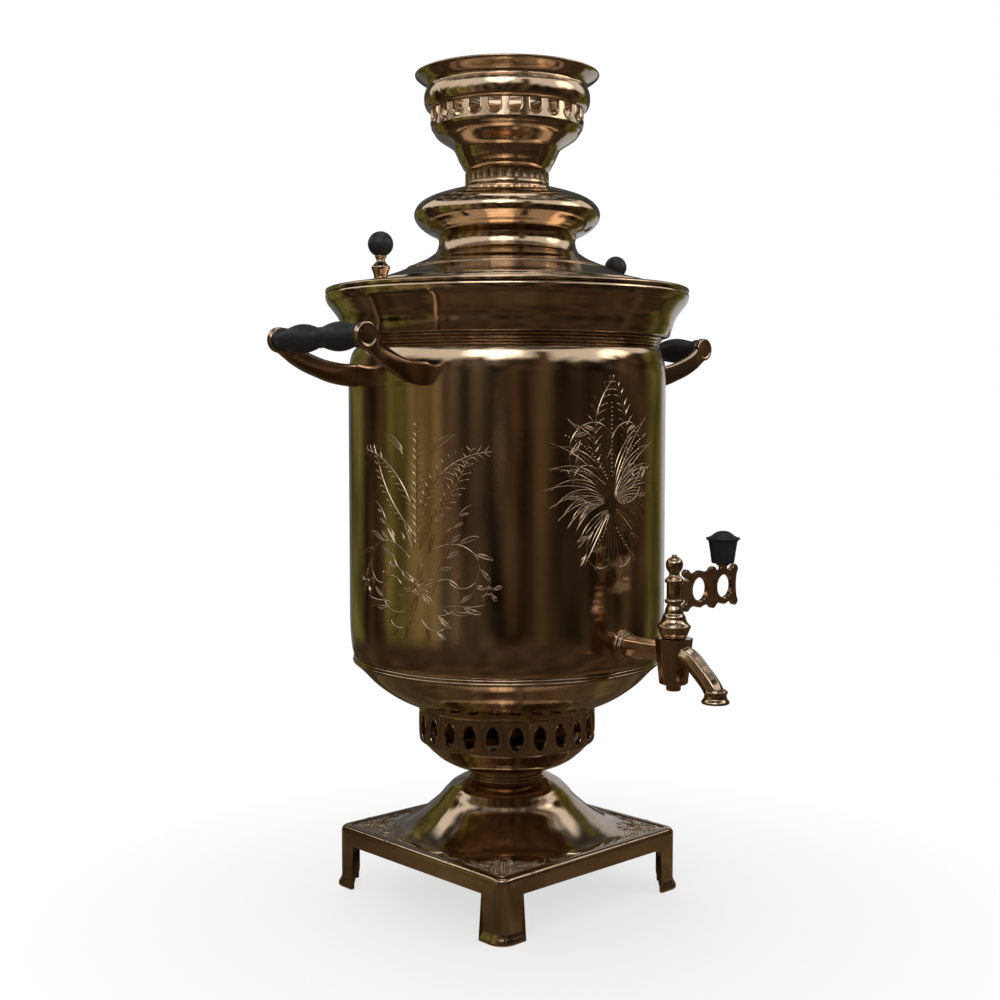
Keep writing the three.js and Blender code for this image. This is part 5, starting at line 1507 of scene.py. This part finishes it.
class SAMOVAR_OT_body(bpy.types.Operator):
    """Build the body: bottom, band, shell, neck rings and collar"""

    bl_idname = "samovar.body"
    bl_label = "Body"

    def execute(self, context):
        rings = solid_ring(NECK_RING, "body_neck_ring")
        piece("curved_bottom", [curved_bottom_surface()], "sheet", "samovar", "body_bottom")
        piece("ridged_band", [solid_ring(BAND, "body_band")], "sheet", "samovar", "body_band")
        piece("shell", [body_shell_surface()], "shell", "samovar", "body_shell")
        piece("neck_rings", [rings], "sheet", "samovar", "body_neck_ring")
        piece("flared_collar", [body_collar_surface()], "sheet", "samovar", "body_collar")
        return {"FINISHED"}


class SAMOVAR_OT_lid(bpy.types.Operator):
    """Build the lid, its cowl, vent and knobs"""

    bl_idname = "samovar.lid"
    bl_label = "Lid"

    def execute(self, context):
        piece("stepped_lid", lid_plate_surfaces(), "sheet", "lid", "lid_plate")
        piece("turned_cowl", [lid_cowl_surface()], "sheet", "lid", "lid_cowl")
        piece("steam_vent", vent_surfaces(), "cast", "lid", "lid_vent")
        for word in ("left", "right"):
            stem, ball = knob_surfaces(word)
            piece(f"knob_stem_{word}", [stem], "cast", "lid", f"lid_stem_{word}")
            piece(f"knob_ball_{word}", [ball], "wood", "lid", f"lid_ball_{word}")
            kept_node(f"lid_nut_{word}", "cast")
        return {"FINISHED"}


class SAMOVAR_OT_crown(bpy.types.Operator):
    """Build the crown that carries the teapot"""

    bl_idname = "samovar.crown"
    bl_label = "Crown"

    def execute(self, context):
        gallery = crown_gallery_surfaces()
        piece("fluted_socket", [crown_socket_surface()], "cast", "crown", "crown_socket")
        piece("crown_bowl_skin", [crown_bowl_surface()], "sheet", "crown", "crown_bowl")
        piece("pierced_gallery", gallery, "sheet", "crown", "crown_gallery", crease=OPEN_CREASE)
        piece("crown_rim_skin", [crown_rim_surface()], "sheet", "crown", "crown_rim")
        return {"FINISHED"}


class SAMOVAR_OT_handles(bpy.types.Operator):
    """Build the two side handles"""

    bl_idname = "samovar.handles"
    bl_label = "Handles"

    def execute(self, context):
        front = arm_surfaces()
        pairs = {"front": front, "back": [mirrored(part, 1, AXIS[1]) for part in front]}
        for word in ("left", "right"):
            for place, arm in pairs.items():
                if word == "left":
                    arm = [mirrored(part, 0, AXIS[0]) for part in arm]
                piece(f"arm_{word}_{place}", arm, "cast", "samovar", f"handle_{word}_arm_{place}")
            piece(f"grip_{word}", [grip_surface(word)], "wood", "samovar", f"handle_{word}_grip")
            piece(f"strap_{word}", [strap_surface(word)], "cast", "samovar", f"handle_{word}_strap")
            kept_node(f"handle_{word}_rod", "rod")
        return {"FINISHED"}


class SAMOVAR_OT_tap(bpy.types.Operator):
    """Build the tap and its turning key"""

    bl_idname = "samovar.tap"
    bl_label = "Tap"

    def execute(self, context):
        piece("wall_flange", [tap_flange_surface()], "cast", "samovar", "tap_flange")
        piece("valve_body", tap_body_surfaces(), "cast", "samovar", "tap_body")
        piece("curved_spout", tap_spout_surfaces(), "cast", "samovar", "tap_spout")
        piece("turned_plug", tap_plug_surfaces(), "cast", "tap_turner", "tap_plug")
        piece("key_plate", key_surfaces(), "cast", "tap_turner", "tap_key")
        piece("key_knob", [tap_knob_surface()], "wood", "tap_turner", "tap_knob")
        kept_node("tap_washer", "fibre")
        kept_node("tap_nut", "cast")
        return {"FINISHED"}


# Panels on the body: word and direction.
PLUME_PANELS = (("left", 75.0), ("back_left", 165.0))
PALMETTE_PANELS = (("front", 6.0), ("right", -98.0))
PLUME_HEIGHT, PALMETTE_HEIGHT = 86, 112
PALMETTE_SCALE = 1.2
PALMETTE_BEAD, CORNER_BEAD = 0.62, 0.42


class SAMOVAR_OT_chasing(bpy.types.Operator):
    """Raise the chased ornament on the body and the base plate"""

    bl_idname = "samovar.chasing"
    bl_label = "Chased Ornament"

    def execute(self, context):
        height = context.scene.samovar_sizes.chasing / MM
        for word, direction in PLUME_PANELS:
            lines = raised_lines(plume_panel(), on_shell(direction, PLUME_HEIGHT), height)
            piece(f"plume_panel_{word}", lines, "chased", "samovar", crease=LINE_CREASE)
        for word, direction in PALMETTE_PANELS:
            lay = on_shell(direction, PALMETTE_HEIGHT)
            strokes = [(points * PALMETTE_SCALE, half) for points, half in fan_panel()]
            lines = raised_lines(strokes, lay, height)
            lines += raised_beads(fan_beads() * PALMETTE_SCALE, lay, PALMETTE_BEAD)
            piece(f"palmette_panel_{word}", lines, "chased", "samovar", crease=LINE_CREASE)
        lines = []
        for lay in map(on_plate, range(4)):
            lines += raised_lines(corner_panel(), lay, height)
            lines += raised_beads(corner_beads(), lay, CORNER_BEAD)
        piece("corner_scrolls", lines, "chased", "samovar", crease=LINE_CREASE)
        return {"FINISHED"}


# Stage, in metres


def stage_mesh(name, corners, faces, material):
    """A stage piece from its corners, in metres."""
    mesh = bpy.data.meshes.new(name)
    mesh.from_pydata(corners, [], faces)
    mesh.materials.append(material)
    thing = bpy.data.objects.new(name, mesh)
    bpy.context.scene.collection.objects.link(thing)
    return thing


def reflected_card(name, angles, radii, heights, finish, closed=False):
    """Card between two rows of points about the axis, which shows in the metal alone."""
    x, y = AXIS * MM
    rows = [
        (x + radius * math.cos(a), y + radius * math.sin(a), height)
        for radius, height in zip(radii, heights) for a in angles
    ]
    card = stage_mesh(name, rows, grid_faces(2, len(angles), False, closed).tolist(), finish)
    card.visible_camera = card.visible_shadow = card.visible_diffuse = False


FLOOR_FADE = (0.08, 0.32, 0.68, 1.0)  # from and to these distances, and from and to these shares


def floor_finish():
    """Pale floor that keeps soft shadows near the object and fades to plain white further off."""
    weave = Weave("pale_floor")
    tree = weave.tree
    weave.shade(Base_Color=weave.mixed(weave.noise(3.0, 3.0), (0.8, 0.79, 0.78), (0.84, 0.83, 0.82)))
    weave.shade(Roughness=0.9)
    light = weave.node("ShaderNodeEmission", Color=(1.0, 1.0, 1.0, 1.0), Strength=1.0)
    distance = weave.node("ShaderNodeVectorMath")
    distance.operation = "LENGTH"
    tree.links.new(weave.place, distance.inputs[0])
    fade = weave.spread(distance.outputs["Value"], *FLOOR_FADE)
    share = linked(tree, "ShaderNodeMath", (seen_plainly(tree), fade), operation="MULTIPLY")
    shown(tree, "Material Output", share, weave.shader.outputs[0], light.outputs[0])
    return weave.material


def card_finish(name, dark, light, crest):
    """Card seen as a row of trees out of focus: upright streaks and soft patches between two
    tones, with a ragged edge near the crest's height and gaps in the leaves below it."""
    weave = Weave(name)
    tree = weave.tree
    streaks = weave.spread(weave.noise(11.0, 6.0, 0.65, stretch=(1.0, 1.0, 0.14)), 0.36, 0.64)
    patches = weave.spread(weave.noise(6.0, 8.0, 0.75), 0.4, 0.6)
    both = linked(tree, "ShaderNodeMath", (streaks, patches), operation="MULTIPLY")
    weave.shade(Base_Color=weave.mixed(both, dark, light), Roughness=0.95, Specular_IOR_Level=0.1)
    height = weave.node("ShaderNodeSeparateXYZ")
    tree.links.new(weave.place, height.inputs[0])
    ragged = weave.spread(weave.noise(7.0, 9.0, 0.72), 0.3, 0.7, crest - 0.16, crest + 0.16)
    over = linked(tree, "ShaderNodeMath", (height.outputs["Z"], ragged), operation="GREATER_THAN")
    clear = weave.node("ShaderNodeBsdfTransparent")
    shown(tree, "Material Output", over, weave.shader.outputs[0], clear.outputs[0])
    return weave.material


# Tones of the cards: dark, light, and the height of the ragged edge.
TONES = {
    "bark": ((0.012, 0.008, 0.004), (0.24, 0.155, 0.085), 0.66),
    "night": ((0.004, 0.003, 0.002), (0.17, 0.125, 0.075), 0.62),
    "dusk": ((0.006, 0.0045, 0.003), (0.42, 0.33, 0.22), 0.62),
    "moss": ((0.05, 0.052, 0.012), (0.5, 0.48, 0.15), 0.64),
    "straw": ((0.2, 0.155, 0.06), (0.85, 0.7, 0.36), 0.6),
    "haze": ((0.035, 0.036, 0.03), (0.26, 0.27, 0.25), 1.2),
    "mist": ((0.14, 0.15, 0.155), (0.44, 0.48, 0.52), 2.0),
    "pale": ((0.62, 0.67, 0.74), (0.95, 0.98, 1.0), 0.46),
    "earth": ((0.085, 0.058, 0.028), (0.26, 0.19, 0.105), 2.0),
    "soil": ((0.04, 0.024, 0.012), (0.17, 0.11, 0.062), 2.0),
    "leaves": ((0.013, 0.013, 0.006), (0.1, 0.09, 0.05), 1.55),
}
# Cards round the object: direction in degrees from the camera's side, width in degrees, distance,
# foot and top, and tone.
CARDS = [
    (-24, 44, 0.84, 0.0, 0.9, "dusk"), (8, 24, 0.86, 0.0, 0.9, "bark"), (25, 11, 0.84, 0.0, 0.9, "earth"),
    (56, 56, 0.86, 0.0, 0.9, "night"), (98, 32, 0.84, 0.0, 0.9, "bark"),
    (128, 32, 0.86, 0.0, 0.9, "moss"), (-58, 26, 0.86, 0.0, 0.9, "straw"),
    (-80, 22, 0.84, 0.0, 0.9, "moss"), (-105, 34, 0.86, 0.0, 0.9, "bark"),
    (-134, 30, 0.84, 0.0, 0.9, "moss"), (-167, 38, 0.84, 0.0, 0.46, "mist"),
    (162, 42, 0.86, 0.0, 0.44, "pale"), (180, 100, 0.9, 0.4, 1.5, "haze"),
]
# Flat rings about the axis: inner and outer radius, height and tone.
RINGS = [(0.02, 0.3, 0.0006, "earth"), (0.3, 0.86, 0.0006, "soil"), (0.36, 1.4, 1.5, "leaves")]
# Lamps: name, place from the axis on the floor, width, watts and colour.
LAMPS = [
    ("overhead", (0.0, -0.1, 1.7), 1.5, 4.5, (1.0, 0.99, 0.98)),
    ("key", (-1.5, -1.1, 1.5), 1.4, 12.0, (1.0, 0.98, 0.97)),
    ("warm", (1.2, -1.3, 1.0), 0.9, 4.5, (1.0, 0.9, 0.77)),
    ("back", (0.9, 1.5, 1.3), 1.3, 8.0, (0.97, 0.98, 1.0)),
]
LAMP_AIM = 0.25  # height that the lamps look at
FLOOR_HALF, FLOOR_DROP = 12.0, 0.0002

# The camera, as found from the photograph: pixels across, pixels of focal length, the column that
# the axis stands in, direction, distance and height of the viewpoint, and pitch in degrees.
PHOTO_WIDTH, FOCAL, AXIS_COLUMN = 1000, 1440, 507
VIEW_SIDE, VIEW_DISTANCE, VIEW_HEIGHT, VIEW_PITCH = (-0.688, -0.725, 0.0), 0.9235, 0.3105, -3.62
SENSOR = 36.0


class SAMOVAR_OT_stage(bpy.types.Operator):
    """Set the floor, the cards, the lamps and the camera"""

    bl_idname = "samovar.stage"
    bl_label = "Stage"

    def execute(self, context):
        scene, centre = context.scene, Vector((*(AXIS * MM), 0.0))
        corners = [(x * FLOOR_HALF, y * FLOOR_HALF, 0) for x, y in ((-1, -1), (1, -1), (1, 1), (-1, 1))]
        floor = stage_mesh("floor", corners, [(0, 1, 2, 3)], floor_finish())
        floor.location.z = -FLOOR_DROP
        tones = {name: card_finish(f"{name}_card", *tone) for name, tone in TONES.items()}
        toward = math.atan2(VIEW_SIDE[1], VIEW_SIDE[0])
        for number, (direction, width, distance, low, high, tone) in enumerate(CARDS):
            angles = toward + np.radians(direction + np.linspace(-width / 2, width / 2, 5))
            reflected_card(f"card_{number}", angles, (distance, distance), (low, high), tones[tone])
        around = np.radians(np.arange(0, 360, 7.5))
        for number, (inner, outer, height, tone) in enumerate(RINGS):
            reflected_card(f"ring_{number}", around, (inner, outer), (height, height), tones[tone], True)
        for name, place, width, power, colour in LAMPS:
            data = bpy.data.lights.new(name, "AREA")
            data.shape, data.size, data.energy, data.color = "DISK", width, power, colour
            aim = Vector((0, 0, LAMP_AIM)) - Vector(place)
            self.placed(scene, name, data, centre + Vector(place), aim)
        self.make_world(scene)
        self.make_camera(scene, centre)
        scene.view_settings.view_transform = "Standard"
        return {"FINISHED"}

    def placed(self, scene, name, data, place, aim):
        """A lamp or camera at a place, looking along a direction."""
        thing = bpy.data.objects.new(name, data)
        thing.location = place
        thing.rotation_euler = aim.to_track_quat("-Z", "Y").to_euler()
        scene.collection.objects.link(thing)
        return thing

    def make_world(self, scene):
        """Pale world: plain soft light, and white where the camera or a shiny face sees it."""
        world = bpy.data.worlds.new("pale_room")
        world.use_nodes = True
        tree = world.node_tree
        background = tree.nodes["Background"]
        background.inputs["Color"].default_value = (0.9, 0.9, 0.92, 1.0)
        background.inputs["Strength"].default_value = 0.5
        white = tree.nodes.new("ShaderNodeBackground")
        white.inputs["Color"].default_value = (1.0, 1.0, 1.0, 1.0)
        shown(tree, "World Output", seen_plainly(tree), background.outputs[0], white.outputs[0])
        scene.world = world

    def make_camera(self, scene, centre):
        """Camera at the photograph's viewpoint, turned so that the axis stands in its column."""
        data = bpy.data.cameras.new("camera")
        data.sensor_width, data.lens = SENSOR, SENSOR * FOCAL / PHOTO_WIDTH
        data.clip_start, data.clip_end = 0.05, 60.0
        side = Vector(VIEW_SIDE).normalized()
        pitch, shift = math.radians(VIEW_PITCH), (AXIS_COLUMN - PHOTO_WIDTH / 2) / FOCAL
        right = Vector((-side.y, side.x, 0.0))
        aim = (-side - right * shift).normalized() * math.cos(pitch) + Vector((0, 0, math.sin(pitch)))
        place = centre + side * VIEW_DISTANCE + Vector((0, 0, VIEW_HEIGHT))
        scene.camera = self.placed(scene, "camera", data, place, aim)


STEPS = ("finishes", "base", "fire_box", "body", "lid", "crown", "handles", "tap", "chasing", "stage")


class SAMOVAR_PT_panel(bpy.types.Panel):
    """Buttons and settings of the samovar"""

    bl_label = "Samovar"
    bl_idname = "SAMOVAR_PT_panel"
    bl_space_type = "VIEW_3D"
    bl_region_type = "UI"
    bl_category = "Samovar"

    def draw(self, context):
        for settings in (context.scene.samovar_sizes, context.scene.samovar_looks):
            for name in settings.bl_rna.properties.keys():
                if name not in {"rna_type", "name"}:
                    self.layout.prop(settings, name)
        for step in STEPS:
            self.layout.operator(f"samovar.{step}")


CLASSES = (
    SamovarSizes, SamovarLooks, SAMOVAR_OT_finishes, SAMOVAR_OT_base, SAMOVAR_OT_fire_box,
    SAMOVAR_OT_body, SAMOVAR_OT_lid, SAMOVAR_OT_crown, SAMOVAR_OT_handles, SAMOVAR_OT_tap,
    SAMOVAR_OT_chasing, SAMOVAR_OT_stage, SAMOVAR_PT_panel,
)


def register():
    for kind in CLASSES:
        bpy.utils.register_class(kind)
    bpy.types.Scene.samovar_sizes = bpy.props.PointerProperty(type=SamovarSizes)
    bpy.types.Scene.samovar_looks = bpy.props.PointerProperty(type=SamovarLooks)


def unregister():
    del bpy.types.Scene.samovar_sizes
    del bpy.types.Scene.samovar_looks
    for kind in reversed(CLASSES):
        bpy.utils.unregister_class(kind)


def main():
    register()
    for step in STEPS:
        getattr(bpy.ops.samovar, step)()
    bpy.context.view_layer.update()


if __name__ == "__main__":
    main()
